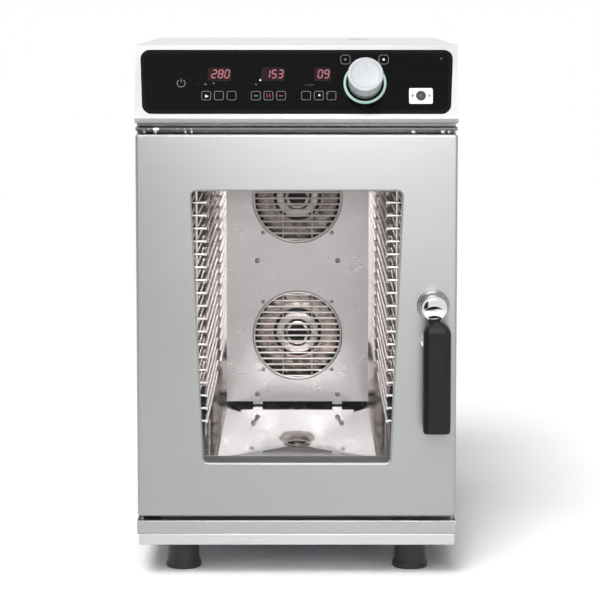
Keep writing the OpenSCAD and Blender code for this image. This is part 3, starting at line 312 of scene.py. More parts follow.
def circuit_board(name):
    """Green board with paler tracks."""
    s = Shader(name, (0.01, 0.10, 0.04), 0.0, 0.35, coat=0.4, coat_roughness=0.2)
    pattern = {"Vector": s.place((160.0, 160.0, 160.0)), "Scale": 1.0, "Mortar Size": 0.05}
    tracks = s.add("ShaderNodeTexBrick", pattern).outputs["Fac"]
    s.link(s.mix(tracks, (0.008, 0.085, 0.03, 1.0), (0.03, 0.20, 0.08, 1.0)), "base_color")
    s.bump(tracks, 0.1, 0.0002)
    return s.material


def heat_tinted(name):
    """Heater sheath: dark steel with straw and blue oxide bands."""
    s = Shader(name, (0.20, 0.17, 0.15), 1.0, 0.35)
    bands = s.noise(s.place(), 26.0, 3.0)
    s.link(s.mix(bands, (0.10, 0.09, 0.12, 1.0), (0.34, 0.26, 0.17, 1.0)), "base_color")
    s.link(s.spread(bands, 0.25, 0.5), "roughness")
    s.bump(bands, 0.05, 0.0005)
    return s.material


PALETTE = {
    # Painted light and shade: the door, roof, side panels, fascia, tray, sill and rail are one stainless
    # steel in lit and shaded copies. The roof, sill and side panels are painted lighter than the door,
    # the fascia and tray a little lighter, and the rail and the other steel_dark parts darker.
    "steel": brushed_steel("steel", (0.355, 0.355, 0.355), 0.32, "x", 0.4, 0.0006),
    "steel_top": brushed_steel("steel_top", (0.70, 0.70, 0.70), 0.34, "x", 0.3, 0.0006),
    "steel_side": brushed_steel("steel_side", (0.52, 0.52, 0.52), 0.34, "z", edge=0.0006),
    "steel_dark": brushed_steel("steel_dark", (0.105, 0.105, 0.11), 0.35, "x", edge=0.0004),
    "steel_fascia": brushed_steel("steel_fascia", (0.44, 0.44, 0.44), 0.30, "x", 0.4),
    "steel_bar": brushed_steel("steel_bar", (0.40, 0.40, 0.40), 0.26, "x", 0.5),
    "steel_sill": brushed_steel("steel_sill", (0.55, 0.55, 0.55), 0.28, "x", 0.5),
    "rosette": brushed_steel("rosette", (0.30, 0.30, 0.30), 0.16, "x", 0.2),
    "screw_grey": brushed_steel("screw_grey", (0.30, 0.30, 0.30), 0.3, "z", 0.1),
    # black_gloss makes the hub's crescents: a painted reflection and a painted shadow.
    "black_gloss": moulded("black_gloss", (0.003, 0.003, 0.003), 0.25, 1200.0, 0.03, specular=0.15),
    "seal": moulded("seal", (0.30, 0.30, 0.30), 0.5),
    # Painted shade: the knob is white plastic, given a greyer colour than white_plastic so that it does
    # not turn white under the lamps
    "knob": moulded("knob", (0.43, 0.445, 0.465), 0.30, 3000.0, 0.04),
    "chamber": polished_steel("chamber", (0.72, 0.67, 0.655), 0.05, 0.015, shade_from=0.29),
    "baffle": polished_steel("baffle", (0.46, 0.455, 0.46), 0.28, 0.01, 6.0),
    "wheel": polished_steel("wheel", (0.40, 0.34, 0.31), 0.25, 0.03, 30.0),
    # wheel_dark is painted shade on the fan wheels' inlet rim, groove and nut.
    "wheel_dark": polished_steel("wheel_dark", (0.02, 0.018, 0.017), 0.4, 0.03, 30.0),
    "wheel_light": polished_steel("wheel_light", (0.60, 0.56, 0.54), 0.22, 0.03, 30.0),
    "wire": polished_steel("wire", (0.80, 0.76, 0.75), 0.16, 0.03, 60.0),
    "guard": polished_steel("guard", (0.72, 0.69, 0.68), 0.3, 0.03, 60.0),
    "chrome": chrome("chrome"),
    # The grip's black band left of X 0.2095 m is painted shade on its left side.
    "grip": moulded("grip", (0.008, 0.0095, 0.010), 0.42, edge=0.001, flank=0.2095, specular=0.2),
    "black_plastic": moulded("black_plastic", (0.02, 0.02, 0.021), 0.5, edge=0.0005),
    "foot": moulded("foot", (0.03, 0.03, 0.03), 0.6, 1800.0, 0.2),
    "rubber": moulded("rubber", (0.02, 0.02, 0.02), 0.62, 1500.0, 0.25),
    "white_plastic": moulded("white_plastic", (0.80, 0.81, 0.83), 0.32, 3000.0, 0.05, edge=0.0003),
    "black_glass": black_glass("black_glass"),
    "clear_glass": clear_glass("clear_glass", (0.86, 0.93, 0.92)),
    "print_black": moulded("print_black", (0.0006, 0.0006, 0.0006), 0.35, 900.0, 0.02, specular=0.08),
    "print_grey": moulded("print_grey", (0.10, 0.10, 0.10), 0.5, 900.0, 0.05),
    "print_dim": moulded("print_dim", (0.035, 0.035, 0.035), 0.5, 900.0, 0.05),
    "knob_skirt": moulded("knob_skirt", (0.11, 0.115, 0.11), 0.45, 2400.0, 0.1),
    "digit": glowing("digit", (0.62, 0.22, 0.27), 0.85, (0.05, 0.01, 0.01)),
    "digit_glow": glowing("digit_glow", (0.030, 0.006, 0.010), 0.4, (0.002, 0.001, 0.001)),
    "mark_white": glowing("mark_white", (0.9, 0.9, 0.92), 0.8, (0.3, 0.3, 0.3)),
    "mark_red": glowing("mark_red", (0.55, 0.10, 0.10), 0.6, (0.05, 0.01, 0.01)),
    "mark_green": glowing("mark_green", (0.12, 0.42, 0.20), 0.6, (0.01, 0.05, 0.02)),
    "lamp": glowing("lamp", (1.0, 0.94, 0.90), 9.0),
    "ring": glowing("ring", (0.62, 0.90, 0.80), 0.45, (0.18, 0.28, 0.24)),
    "wool": mineral_wool("wool"),
    "zinc": galvanised("zinc", 0.0004),
    "circuit": circuit_board("circuit"),
    "valve": moulded("valve", (0.03, 0.12, 0.32), 0.45, edge=0.0005),
    "heater": heat_tinted("heater"),
}

# Material of every node that keeps the CAD shape
NODE_MATERIALS = {
    "steel": ["front_sill", "drip_tray", "front_frame", "door_shell", "door_liner", "fascia",
              "handle_base", "case_screws"],
    "steel_top": ["roof_panel"],
    "steel_side": ["side_panel_left", "side_panel_right", "rear_panel"],
    "steel_dark": ["door_rail", "hinge_brackets", "hinge_pins", "glass_clip_upper",
                   "glass_clip_lower", "latch_hook"],
    "chamber": ["cavity", "steam_pipes", "vent_duct", "encoder_shaft"],
    "wheel": ["fan_wheel_upper", "fan_wheel_lower", "drain_strainer"],
    "baffle": ["fan_baffle"],
    "wire": ["rack_left", "rack_right", "rack_studs", "fan_guards"],
    "black_glass": ["control_glass"],
    "clear_glass": ["outer_glass", "inner_glass"],
    "black_plastic": ["glass_carrier", "cooling_fan_frame", "cooling_rotor", "cable_gland",
                      "vent_actuator", "fan_motors"],
    "grip": ["handle_grip"],
    "white_plastic": ["knob", "probe_socket"],
    "ring": ["knob_light_ring"],
    "chrome": ["handle_hub"],
    "rubber": ["door_gasket"],
    "foot": ["foot_front_left", "foot_front_right", "foot_rear_left", "foot_rear_right"],
    "wool": ["insulation"],
    "zinc": ["base_frame", "service_deck", "motor_bulkhead", "vent_flap", "drain_pipe"],
    "circuit": ["control_board", "power_board"],
    "lamp": ["door_lamps"],
    "valve": ["water_valve"],
    "heater": ["heaters"],
}


def dress(mesh_object, material):
    """Gives a piece or a CAD node one material on every slot."""
    slots = mesh_object.data.materials
    if not slots:
        slots.append(material)
    for index in range(len(slots)):
        slots[index] = material


for material_name, node_names in NODE_MATERIALS.items():
    for node_name in node_names:
        dress(frame["nodes"][node_name], PALETTE[material_name])


# ---- Mesh helpers ----

def arc(center, radius, start, end, steps):
    """Points of a 2D arc, angles in degrees."""
    angles = [math.radians(start + (end - start) * i / steps) for i in range(steps + 1)]
    return [(center[0] + radius * math.cos(a), center[1] + radius * math.sin(a)) for a in angles]


def rounded(corners, radius, steps=8):
    """2D outline through the corners, each rounded to the same radius."""
    outline = []
    for i, corner in enumerate(corners):
        here = Vector(corner)
        to_last = (Vector(corners[i - 1]) - here).normalized()
        to_next = (Vector(corners[(i + 1) % len(corners)]) - here).normalized()
        half = to_last.angle(to_next) / 2
        center = here + (to_last + to_next).normalized() * radius / math.sin(half)
        start = here + to_last * radius / math.tan(half) - center
        end = here + to_next * radius / math.tan(half) - center
        for k in range(steps + 1):
            outline.append(tuple(center + slerp(start, end, k / steps)))
    return outline


def slerp(a, b, share):
    """Vector turned from a to b by a share of the angle between them."""
    turn = a.angle_signed(b)
    angle = -turn * share
    return Vector((a.x * math.cos(angle) - a.y * math.sin(angle),
                   a.x * math.sin(angle) + a.y * math.cos(angle)))


def rectangle(x0, x1, y0, y1):
    """2D outline of a rectangle."""
    return [(x0, y0), (x1, y0), (x1, y1), (x0, y1)]


def at_y(outline, y):
    """2D outline in X and Z, lifted to 3D at a depth."""
    return [(x, y, z) for x, z in outline]


def facing_front(x0, y0, z0):
    """Placement of a local frame that looks out of the door: X, up, and towards the viewer."""
    return lambda x, v, w: (x0 + x, y0 - w, z0 + v)


class Shape:
    """Vertices and faces of one piece, collected part by part."""

    def __init__(self):
        self.verts = []
        self.faces = []

    def loft(self, loops, caps=(True, True), ring=True):
        """Skin over loops that have the same number of points."""
        first, n = len(self.verts), len(loops[0])
        for loop in loops:
            self.verts += [tuple(point) for point in loop]
        for row in range(len(loops) - 1):
            a, b = first + row * n, first + (row + 1) * n
            for i in range(n if ring else n - 1):
                j = (i + 1) % n
                self.faces.append((a + i, a + j, b + j, b + i))
        if caps[0]:
            self.faces.append(tuple(range(first + n - 1, first - 1, -1)))
        if caps[1]:
            last = first + (len(loops) - 1) * n
            self.faces.append(tuple(range(last, last + n)))
        return self

    def lathe(self, profile, place, steps=64, caps=(True, True)):
        """Profile of (radius, height) turned round the local W axis of a placement."""
        loops = []
        for radius, height in profile:
            ring = arc((0.0, 0.0), radius, 0.0, 360.0, steps)[:-1]
            loops.append([place(x, v, height) for x, v in ring])
        return self.loft(loops, caps)

    def rod(self, start, end, radius, steps=12):
        """Round bar between two points."""
        start, end = Vector(start), Vector(end)
        along = (end - start).normalized()
        side = along.orthogonal().normalized()
        up = along.cross(side)
        ring = [side * x + up * y for x, y in arc((0.0, 0.0), radius, 0.0, 360.0, steps)[:-1]]
        return self.loft([[point + offset for offset in ring] for point in (start, end)])

    def block(self, low, high, edge):
        """Box with every edge softened."""
        loops = []
        x0, y0, z0 = low
        x1, y1, z1 = high
        sweep = (0.0, 30.0, 60.0, 90.0)
        rows = [(edge * (1 - math.sin(math.radians(a))), y0 + edge * (1 - math.cos(math.radians(a))))
                for a in sweep]
        rows += [(inset, y0 + y1 - y) for inset, y in reversed(rows)]
        for inset, y in rows:
            outline = rounded(rectangle(x0 + inset, x1 - inset, z0 + inset, z1 - inset),
                              max(edge - inset, edge * 0.1), 3)
            loops.append(at_y(outline, y))
        return self.loft(loops)

    def ribbon(self, points, width, place, height, closed=False):
        """Flat stroke of a line drawn in a placement's local X and up."""
        points = [Vector(p) for p in points]
        count = len(points)
        left, right = [], []
        for i, point in enumerate(points):
            before = points[i - 1] if i or closed else point
            after = points[(i + 1) % count] if i < count - 1 or closed else point
            along = (after - before).normalized()
            side = Vector((-along.y, along.x)) * width / 2
            left.append(place(*(point + side), height))
            right.append(place(*(point - side), height))
        if closed:
            left.append(left[0])
            right.append(right[0])
        return self.loft([left, right], (False, False), ring=False)

    def disc(self, center, radius, place, height, steps=32):
        ring = arc(center, radius, 0.0, 360.0, steps)[:-1]
        return self.loft([[place(x, v, height) for x, v in ring]], (False, True))

    def patch(self, outline, place, height):
        return self.loft([[place(x, v, height) for x, v in outline]], (False, True))

    def screw(self, place, radius, height):
        """Domed screw head with a hexagonal socket."""
        hole = radius * 0.45
        dome = [(radius, 0.0), (radius, height * 0.35)]
        for angle in (25, 45, 62):
            turn = math.radians(angle)
            dome.append((radius * math.cos(turn), height * (0.35 + 0.65 * math.sin(turn))))
        self.lathe(dome + [(hole, height * 0.98)], place, 24, (True, False))
        return self.lathe([(hole, height * 0.98), (hole * 0.98, height * 0.4)], place, 6, (False, True))

    def make(self, name, material, body, slot, replaces=(), sharp=32.0):
        """Turns the shape into a piece on a body."""
        mesh = bpy.data.meshes.new(name)
        mesh.from_pydata(self.verts, [], self.faces)
        work = bmesh.new()
        work.from_mesh(mesh)
        bmesh.ops.remove_doubles(work, verts=work.verts, dist=1e-6)
        bmesh.ops.recalc_face_normals(work, faces=work.faces)
        work.to_mesh(mesh)
        work.free()
        dressed(name, mesh, material, body, replaces, sharp)


def dressed(name, mesh, material, body, replaces, sharp):
    """Piece with a smooth-shaded mesh, its material, and its place in the frame."""
    mesh.shade_smooth()
    mesh.set_sharp_from_angle(angle=math.radians(sharp))
    piece = bpy.data.objects.new(name, mesh)
    bpy.context.scene.collection.objects.link(piece)
    weighted = piece.modifiers.new("flat_faces_stay_flat", "WEIGHTED_NORMAL")
    weighted.keep_sharp = True
    dress(piece, PALETTE[material])
    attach(piece, body)
    if replaces:
        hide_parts(*replaces)


def softened(node, radius, material, body, keep):
    """Copy of a sheet-metal node whose edges are rounded where keep says so, in the node's place."""
    mesh = frame["nodes"][node].data.copy()
    mesh.name = f"{node}.rounded"
    mesh.materials.clear()
    work = bmesh.new()
    work.from_mesh(mesh)
    bmesh.ops.remove_doubles(work, verts=work.verts, dist=1e-6)
    bmesh.ops.dissolve_limit(work, angle_limit=math.radians(1.0), verts=work.verts, edges=work.edges)
    edges = [edge for edge in work.edges
             if len(edge.link_faces) == 2 and edge.calc_face_angle() > math.radians(30.0)
             and keep((edge.verts[0].co + edge.verts[1].co) / 2)]
    bmesh.ops.bevel(work, geom=edges, offset=radius, segments=3, profile=0.5, affect="EDGES",
                    clamp_overlap=True)
    work.to_mesh(mesh)
    work.free()
    dressed(f"{node}.sheet", mesh, material, body, (node,), 32.0)


# ---- Door front, bars and rail ----

DOOR_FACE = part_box("door_shell")[0].y
FRONT_DEPTH = 3.5 * MM  # edges of the housing and bars that lie nearer than this are softened
RAIL_DEPTH = 4.5 * MM  # the same for the rail
TUCK = 0.2 * MM  # how far the window's edge laps over its opening
# Along the rail, in millimetres: middle and half width of each stop, and the screws
RAIL_STOPS = ((187, 3.2), (234, 3.2), (244, 1.6), (-244, 1.6), (-226, 2.4), (-178, 1.8), (-168, 1.8))
RAIL_SCREWS = (-237, -190, -179, -169)


def window(grown=0.0):
    """Outline of the door's window, grown on every side: a trapezoid on a narrower foot."""
    glass_low, glass_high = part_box("outer_glass")
    top_half, low_half, radius = 170.3 * MM, 151.7 * MM, 8 * MM
    lap_below, lap_above = 9 * MM, 11.5 * MM
    z0, z1 = glass_low.z + lap_below - grown, glass_high.z - lap_above + grown
    corners = [(-low_half - grown, z0), (low_half + grown, z0),
               (top_half + grown, z1), (-top_half - grown, z1)]
    return rounded(corners, radius + grown)


def add_door_front():
    """Door front: pressed sheet with a rounded rim, and the window's edge rolled inwards."""
    low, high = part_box("door_shell")
    sheet, rim, roll = 1.5 * MM, 4 * MM, 3 * MM
    radius, least_radius = 5 * MM, 1 * MM
    front, rear = low.y, high.y

    def outer(inset, y):
        corners = rectangle(low.x + inset, high.x - inset, low.z + inset, high.z - inset)
        return at_y(rounded(corners, max(radius - inset, least_radius)), y)

    loops = [outer(0.0, rear)]
    for x, y in arc((rim, rim), rim, 180.0, 270.0, 6):
        loops.append(outer(x, front + y))
    for x, y in arc((roll, roll), roll, 270.0, 180.0, 6):
        loops.append(at_y(window(x - TUCK), front + y))
    loops.append(at_y(window(-TUCK), front + roll + sheet))
    loops.append(at_y(window(roll), front + roll + sheet))
    loops.append(outer(rim, front + rim + sheet))
    loops.append(outer(sheet, front + rim + sheet))
    loops.append(outer(sheet, rear))
    loops.append(loops[0])
    door = Shape().loft(loops, (False, False))
    door.make("door.front", "steel", "door", "stainless", ["door_shell"], 40.0)


def add_window_seal():
    """Grey margin on the outer glass, behind the window's rolled edge."""
    glass_low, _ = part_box("outer_glass")
    y = glass_low.y + 0.9 * MM
    hidden, seen = 11 * MM, 1 * MM
    margin = Shape().loft([at_y(window(hidden), y), at_y(window(-seen), y)], (False, False))
    margin.make("door.glass_margin", "seal", "door", "black_plastic")


def add_front_bars():
    """Control housing, drip tray and sill with their softened front edges."""
    def near_front(point):
        return point.y < DOOR_FACE + FRONT_DEPTH

    softened("fascia", 1.6 * MM, "steel_fascia", "root", near_front)
    softened("drip_tray", 1.4 * MM, "steel_bar", "drip_tray", near_front)
    softened("front_sill", 1.4 * MM, "steel_sill", "root", near_front)


def add_rail():
    """Rail over the door, its plug and screws, and the stops in the gap under it."""
    low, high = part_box("door_rail")
    middle = (low.z + high.z) / 2
    softened("door_rail", 0.9 * MM, "steel_dark", "root",
             lambda point: point.y < DOOR_FACE + RAIL_DEPTH)
    place = facing_front(0.0, low.y, middle)
    plug_left, plug_right, plug_radius = -228 * MM, -222 * MM, 2.1 * MM
    outline = arc((plug_right, 0.0), plug_radius, -90.0, 90.0, 8)
    outline += arc((plug_left, 0.0), plug_radius, 90.0, 270.0, 8)
    plug = Shape().loft([[place(x, v * scale, w) for x, v in outline]
                         for scale, w in ((1.0, -0.5 * MM), (1.0, 0.6 * MM), (0.7, 1.0 * MM))])
    plug.make("rail.plug", "white_plastic", "root", "white_plastic")
    stops = Shape()
    front, rear, foot, top = low.y + 1 * MM, low.y + 6 * MM, low.z - 4.4 * MM, low.z + 0.5 * MM
    for x, half in RAIL_STOPS:
        stops.block(((x - half) * MM, front, foot), ((x + half) * MM, rear, top), 0.5 * MM)
    stops.make("rail.stops", "steel", "root", "stainless")
    screws = Shape()
    for x in RAIL_SCREWS:
        screws.screw(facing_front(x * MM, low.y - 0.2 * MM, middle), 1.7 * MM, 0.8 * MM)
    screws.make("rail.screws", "steel", "root", "stainless")


add_door_front()
add_window_seal()
add_front_bars()
add_rail()


# ---- Control panel, drawn in millimetres on its slope ----

joints = {joint["name"]: joint for joint in frame["record"]["behaviour"]["joints"]}
PANEL_OUT = Vector(joints["knob_turn"]["axis"])
PANEL_UP = Vector((0.0, PANEL_OUT.z, -PANEL_OUT.y))
GLASS_FACE = 0.5
PRINT = 0.06
KNOB_V = 58.8
THIN_LINE = 0.9
DIGIT_PITCH, DIGIT_WIDTH, DIGIT_HALF, DIGIT_SLANT, DIGIT_STROKE = 10.4, 6.6, 6.5, 0.14, 1.9

SEGMENTS = {
    "top": ((0, 2), (1, 2)), "middle": ((0, 1), (1, 1)), "bottom": ((0, 0), (1, 0)),
    "upper_left": ((0, 1), (0, 2)), "upper_right": ((1, 1), (1, 2)),
    "lower_left": ((0, 0), (0, 1)), "lower_right": ((1, 0), (1, 1)),
}
DIGITS = {
    "0": ("top", "bottom", "upper_left", "upper_right", "lower_left", "lower_right"),
    "1": ("upper_right", "lower_right"),
    "2": ("top", "upper_right", "middle", "lower_left", "bottom"),
    "3": ("top", "upper_right", "middle", "lower_right", "bottom"),
    "5": ("top", "upper_left", "middle", "lower_right", "bottom"),
    "8": tuple(SEGMENTS),
    "9": ("top", "middle", "bottom", "upper_left", "upper_right", "lower_right"),
}


def on_panel(x0=0.0, v0=0.0, w0=0.0):
    """Placement in the panel: X from the machine's middle, up the slope from the lower front edge,
    and out of it, in millimetres."""
    low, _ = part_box("fascia")
    edge = Vector((0.0, low.y, low.z + 8 * MM))

    def moved(start, x, v, w):
        return start + Vector((x * MM, 0.0, 0.0)) + PANEL_UP * (v * MM) + PANEL_OUT * (w * MM)

    base = moved(edge, x0, v0, w0)
    return lambda x, v, w: tuple(moved(base, x, v, w))


def add_number(shape, text, x, v):
    """Seven-segment figures with a slight slant."""
    place = on_panel(0.0, 0.0, GLASS_FACE + 2 * PRINT)
    for i, digit in enumerate(text):
        for segment in DIGITS[digit]:
            ends = []
            for across, up in SEGMENTS[segment]:
                rise = up * DIGIT_HALF
                shift = i * DIGIT_PITCH + across * DIGIT_WIDTH + rise * DIGIT_SLANT
                ends.append(Vector((x + shift, v + rise)))
            gap = (ends[1] - ends[0]).normalized() * DIGIT_STROKE * 0.35
            shape.ribbon([ends[0] + gap, ends[1] - gap], DIGIT_STROKE, place, 0.0)


def add_displays():
    """Three lit numbers, each on its dark red display window."""
    digits, glow = Shape(), Shape()
    place = on_panel(0.0, 0.0, GLASS_FACE + PRINT)
    for text, x in (("280", -138.5), ("153", -52.5), ("09", 32.0)):
        add_number(digits, text, x + 2, 68.5)
        right = x + DIGIT_PITCH * len(text) + 2
        glow.patch(rounded(rectangle(x - 4, right, 63, 86), 4), place, 0.0)
    glow.make("display.windows", "digit_glow", "root", "black_glass")
    digits.make("display.digits", "digit", "root", "light_ring")


def add_icons():
    """Power symbol, dash and dots beside the numbers, and two eight-sided marks beside the knob."""
    grey, white, dim = Shape(), Shape(), Shape()
    place = on_panel(0.0, 0.0, GLASS_FACE + PRINT)
    power_x, power_v, stroke = -185.2, 59.2, 1.3
    grey.ribbon(arc((power_x, power_v), 6.4, 125.0, 415.0, 28), stroke, place, 0.0)
    grey.ribbon([(power_x, power_v + 1.3), (power_x, power_v + 8.3)], stroke, place, 0.0)
    grey.ribbon([(-148.5, 57.4), (-144, 57.4)], 1.6, place, 0.0)
    grey.disc((-133, 59), 1.3, place, 0.0)
    grey.disc((-65, 57.4), 1.2, place, 0.0)
    white.disc((-58.4, 64.4), 1.5, place, 0.0)
    for i in range(4):
        dim.disc((14.5 + i * 4.2, 56.5), 1.0, place, 0.0)
    dim.disc((232.7, 101), 1.6, place, 0.0)
    mark_v, half, cut = 99.5, 7.6, 3.0
    for x, centre in ((78.5, grey), (140.0, white)):
        outline = []
        for turn in range(4):
            for corner in (Vector((half, cut - half)), Vector((half, half - cut))):
                for _ in range(turn):
                    corner = Vector((-corner.y, corner.x))
                outline.append((x + corner.x, mark_v + corner.y))
        grey.ribbon(outline, THIN_LINE, place, 0.0, closed=True)
        centre.disc((x, mark_v), 1.9, place, 0.0)
    grey.make("panel.icons", "print_grey", "root", "white_plastic")
    white.make("panel.lit_dots", "mark_white", "root", "white_plastic")
    dim.make("panel.dim_marks", "print_dim", "root", "white_plastic")


def add_buttons():
    """Three groups of three touch buttons with their lit marks."""
    outlines, white, red, green = Shape(), Shape(), Shape(), Shape()
    place = on_panel(0.0, 0.0, GLASS_FACE + PRINT)
    middle_v, half, pitch, radius = 38.3, 7.2, 20.3, 2.4
    for group_x in (-124.5, -45.1, 35.5):
        for x in (group_x - pitch, group_x, group_x + pitch):
            square = rounded(rectangle(x - half, x + half, middle_v - half, middle_v + half), radius, 4)
            outlines.ribbon(square, THIN_LINE, place, 0.0, closed=True)
    white.patch([(-146.5, 34.5), (-141, 37.2), (-146.5, 40)], place, 0.0)
    white.disc((36.4, 39), 1.6, place, 0.0)
    green.ribbon([(-68, 38), (-62, 38)], 2.0, place, 0.0)
    for x in (-47.5, -43.0):
        red.ribbon([(x, 35), (x, 41.5)], 1.4, place, 0.0)
    red.ribbon([(-28, 38), (-22, 38)], 1.8, place, 0.0)
    red.ribbon([(47, 42), (51, 42)], 1.6, place, 0.0)
    outlines.make("panel.buttons", "print_grey", "root", "white_plastic")
    white.make("panel.button_marks_white", "mark_white", "root", "white_plastic")
    red.make("panel.button_marks_red", "mark_red", "root", "light_ring")
    green.make("panel.button_marks_green", "mark_green", "root", "light_ring")


def add_glass_border():
    """Deeper black printed border round the control glass, which widens upwards."""
    place = on_panel(0.0, 0.0, GLASS_FACE + 0.5 * PRINT)
    foot_v, top_v, foot_half, top_half, radius = 8.6, 115.4, 246.3, 251.4, 14.5

    def outline(inset):
        corners = [(inset - foot_half, foot_v + inset), (foot_half - inset, foot_v + inset),
                   (top_half - inset, top_v - inset), (inset - top_half, top_v - inset)]
        return rounded(corners, radius - inset * 0.6)

    border = Shape().loft([[place(x, v, 0.0) for x, v in outline(inset)] for inset in (0.3, 5.4)],
                          (False, False))
    border.make("panel.glass_border", "print_black", "root", "black_glass")


def at_knob():
    """Placement on the knob's axis."""
    return on_panel(joints["knob_turn"]["pos_m"][0] / MM, KNOB_V)


def add_knob():
    """White dished knob with a raised rim, on its grey skirt."""
    out, radius, outer_edge, inner_edge = 46.5, 28.5, 2.2, 2.0
    body = [(26.2, 15), (27.2, 15.6), (28.1, 38)]
    body += arc((radius - outer_edge, out - outer_edge), outer_edge, 0.0, 90.0, 8)
    body += arc((radius - outer_edge - inner_edge, out - inner_edge), inner_edge, 90.0, 150.0, 4)
    body += [(20, out - 1.35), (10, out - 1.6), (0.5, out - 1.7)]
    cap = Shape().lathe(body, at_knob(), 96)
    cap.make("knob.cap", "knob", "knob", "white_plastic", ["knob"], 50.0)
    profile = [(26.5, 2.6), (27.0, 3.2), (27.0, 12), (26.4, 13.4), (25.4, 14.6), (25.4, 15.2)]
    skirt = Shape().lathe(profile, at_knob(), 96)
    skirt.make("knob.skirt", "knob_skirt", "knob", "black_plastic")


def add_light_ring():
    """Raised rim of moulded light guide round the knob's foot."""
    profile = [(30.6, 0.5), (30.6, 2.6)]
    profile += arc((31.6, 2.9), 1.1, 180.0, 90.0, 4)
    profile += arc((33.0, 2.6), 1.4, 90.0, 0.0, 5)
    profile += [(34.4, 0.5)]
    ring = Shape().lathe(profile, at_knob(), 96, (False, False))
    ring.make("knob.light_ring", "ring", "root", "light_ring", ["knob_light_ring"])


def add_probe_plate():
    """White plate with the black socket of the core probe and its two screws."""
    low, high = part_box("probe_socket")
    x, v, half, half_up, thick = (low.x + high.x) / 2 / MM, 37.4, 19, 13.2, 2.0
    place = on_panel(x, v, GLASS_FACE)
    outline = rounded(rectangle(-half, half, -half_up, half_up), 2.6)
    loops = [[place(a * scale, b * (1 - (1 - scale) * 1.44), w) for a, b in outline]
             for scale, w in ((1.0, 0.0), (1.0, 1.3), (0.985, 1.8), (0.955, thick))]
    Shape().loft(loops).make("probe.plate", "white_plastic", "root", "white_plastic", ["probe_socket"])
    profile = [(8, 0.0), (8, 1.2), (7.2, 2), (5.4, 2), (4.6, 1.4), (3.2, 1.4), (3.2, -1.5)]
    socket = Shape().lathe(profile, on_panel(x, v, GLASS_FACE + thick), 48)
    socket.make("probe.socket", "black_plastic", "root", "black_plastic")
    screws = Shape()
    for side in (-13.3, 13.3):
        screws.screw(on_panel(x + side, v, GLASS_FACE + thick), 2.4, 0.9)
    screws.make("probe.screws", "screw_grey", "root", "stainless_dark")


add_displays()
add_icons()
add_buttons()
add_glass_border()
add_knob()
add_light_ring()
add_probe_plate()


# ---- Handle ----

SPINDLE_R = 6 * MM
LATCH_SCREW_R = 2.9 * MM


def add_rosette():
    """Round plate on the door with a stepped, polished rim."""
    low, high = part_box("handle_base")
    x, z = (low.x + high.x) / 2, (low.z + high.z) / 2
    radius, thick = (high.x - low.x) / 2, high.y - low.y
    place = facing_front(x, high.y, z)
    rounding, groove = thick * 0.6, thick * 0.82
    profile = [(radius, 0.0), (radius, thick * 0.25)]
    profile += arc((radius - rounding, thick - rounding), rounding, 0.0, 90.0, 5)
    profile += [(radius - 3.2 * MM, thick), (radius - 3.7 * MM, groove), (radius - 5 * MM, groove)]
    profile.append((SPINDLE_R + 0.2 * MM, thick * 0.9))
    rosette = Shape().lathe(profile, place, 96)
    rosette.make("handle.rosette", "rosette", "door", "stainless", ["handle_base"])


def add_hub():
    """Chrome hub on its spindle: waisted drum with a crowned face, and the black arm into the grip."""
    low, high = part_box("handle_hub")
    x, z = joints["handle_turn"]["pos_m"][0], joints["handle_turn"]["pos_m"][2]
    radius = (high.x - low.x) / 2
    place = facing_front(x, DOOR_FACE, z)
    reach, rounding, waist = DOOR_FACE - low.y, 6 * MM, radius - 5 * MM
    profile = [(SPINDLE_R, 3.2 * MM), (waist, 3.3 * MM), (waist, 9 * MM),
               (radius - 1.2 * MM, 14 * MM), (radius, 17 * MM)]
    profile += arc((radius - rounding, reach - rounding - 0.6 * MM), rounding, 0.0, 78.0, 8)
    profile += [(radius * 0.45, reach - 0.15 * MM), (radius * 0.12, reach)]
    hub = Shape().lathe(profile, place, 96)
    hook_low, hook_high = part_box("latch_hook")
    hub.lathe([(SPINDLE_R, DOOR_FACE - hook_low.y + 0.3 * MM), (SPINDLE_R, 3.5 * MM)], place, 32)
    hub.lathe([(LATCH_SCREW_R, DOOR_FACE - hook_high.y - 2 * MM), (LATCH_SCREW_R, 0.0)], place, 32)
    hub.make("handle.hub", "chrome", "handle", "chrome", ["handle_hub"], 40.0)
    half, front, rear, top = 9 * MM, low.y + 2 * MM, low.y + 12 * MM, z - 14 * MM
    arm = Shape().block((x - half, front, low.z), (x + half, rear, top), 2 * MM)
    arm.make("handle.arm", "grip", "handle", "black_plastic")
    add_hub_painted_crescents(place, reach + 0.05 * MM)


def add_hub_painted_crescents(place, height):
    """Two black crescents on the hub's face, one above the other: the upper one a painted reflection of
    dark surroundings, the lower one painted shadow of the gap between hub and grip.
    """
    painted_crescents, steps, curve, thinnest = Shape(), 18, 19.0, 0.25
    for drop, start, end, thick in ((14.6, 46.0, 140.0, 5.2), (29.5, 48.0, 126.0, 4.6)):
        upper, lower = [], []
        for i in range(steps + 1):
            share = i / steps
            angle = math.radians(end + (start - end) * share)
            swell = max(thick * math.sin(math.pi * share ** 0.8), thinnest)
            for row, radius in ((upper, curve * MM), (lower, (curve - swell) * MM)):
                row.append(place(radius * math.cos(angle), radius * math.sin(angle) - drop * MM, height))
        painted_crescents.loft([upper, lower], (False, False), ring=False)
    painted_crescents.make("handle.hub_inlays", "black_gloss", "handle", "black_plastic")


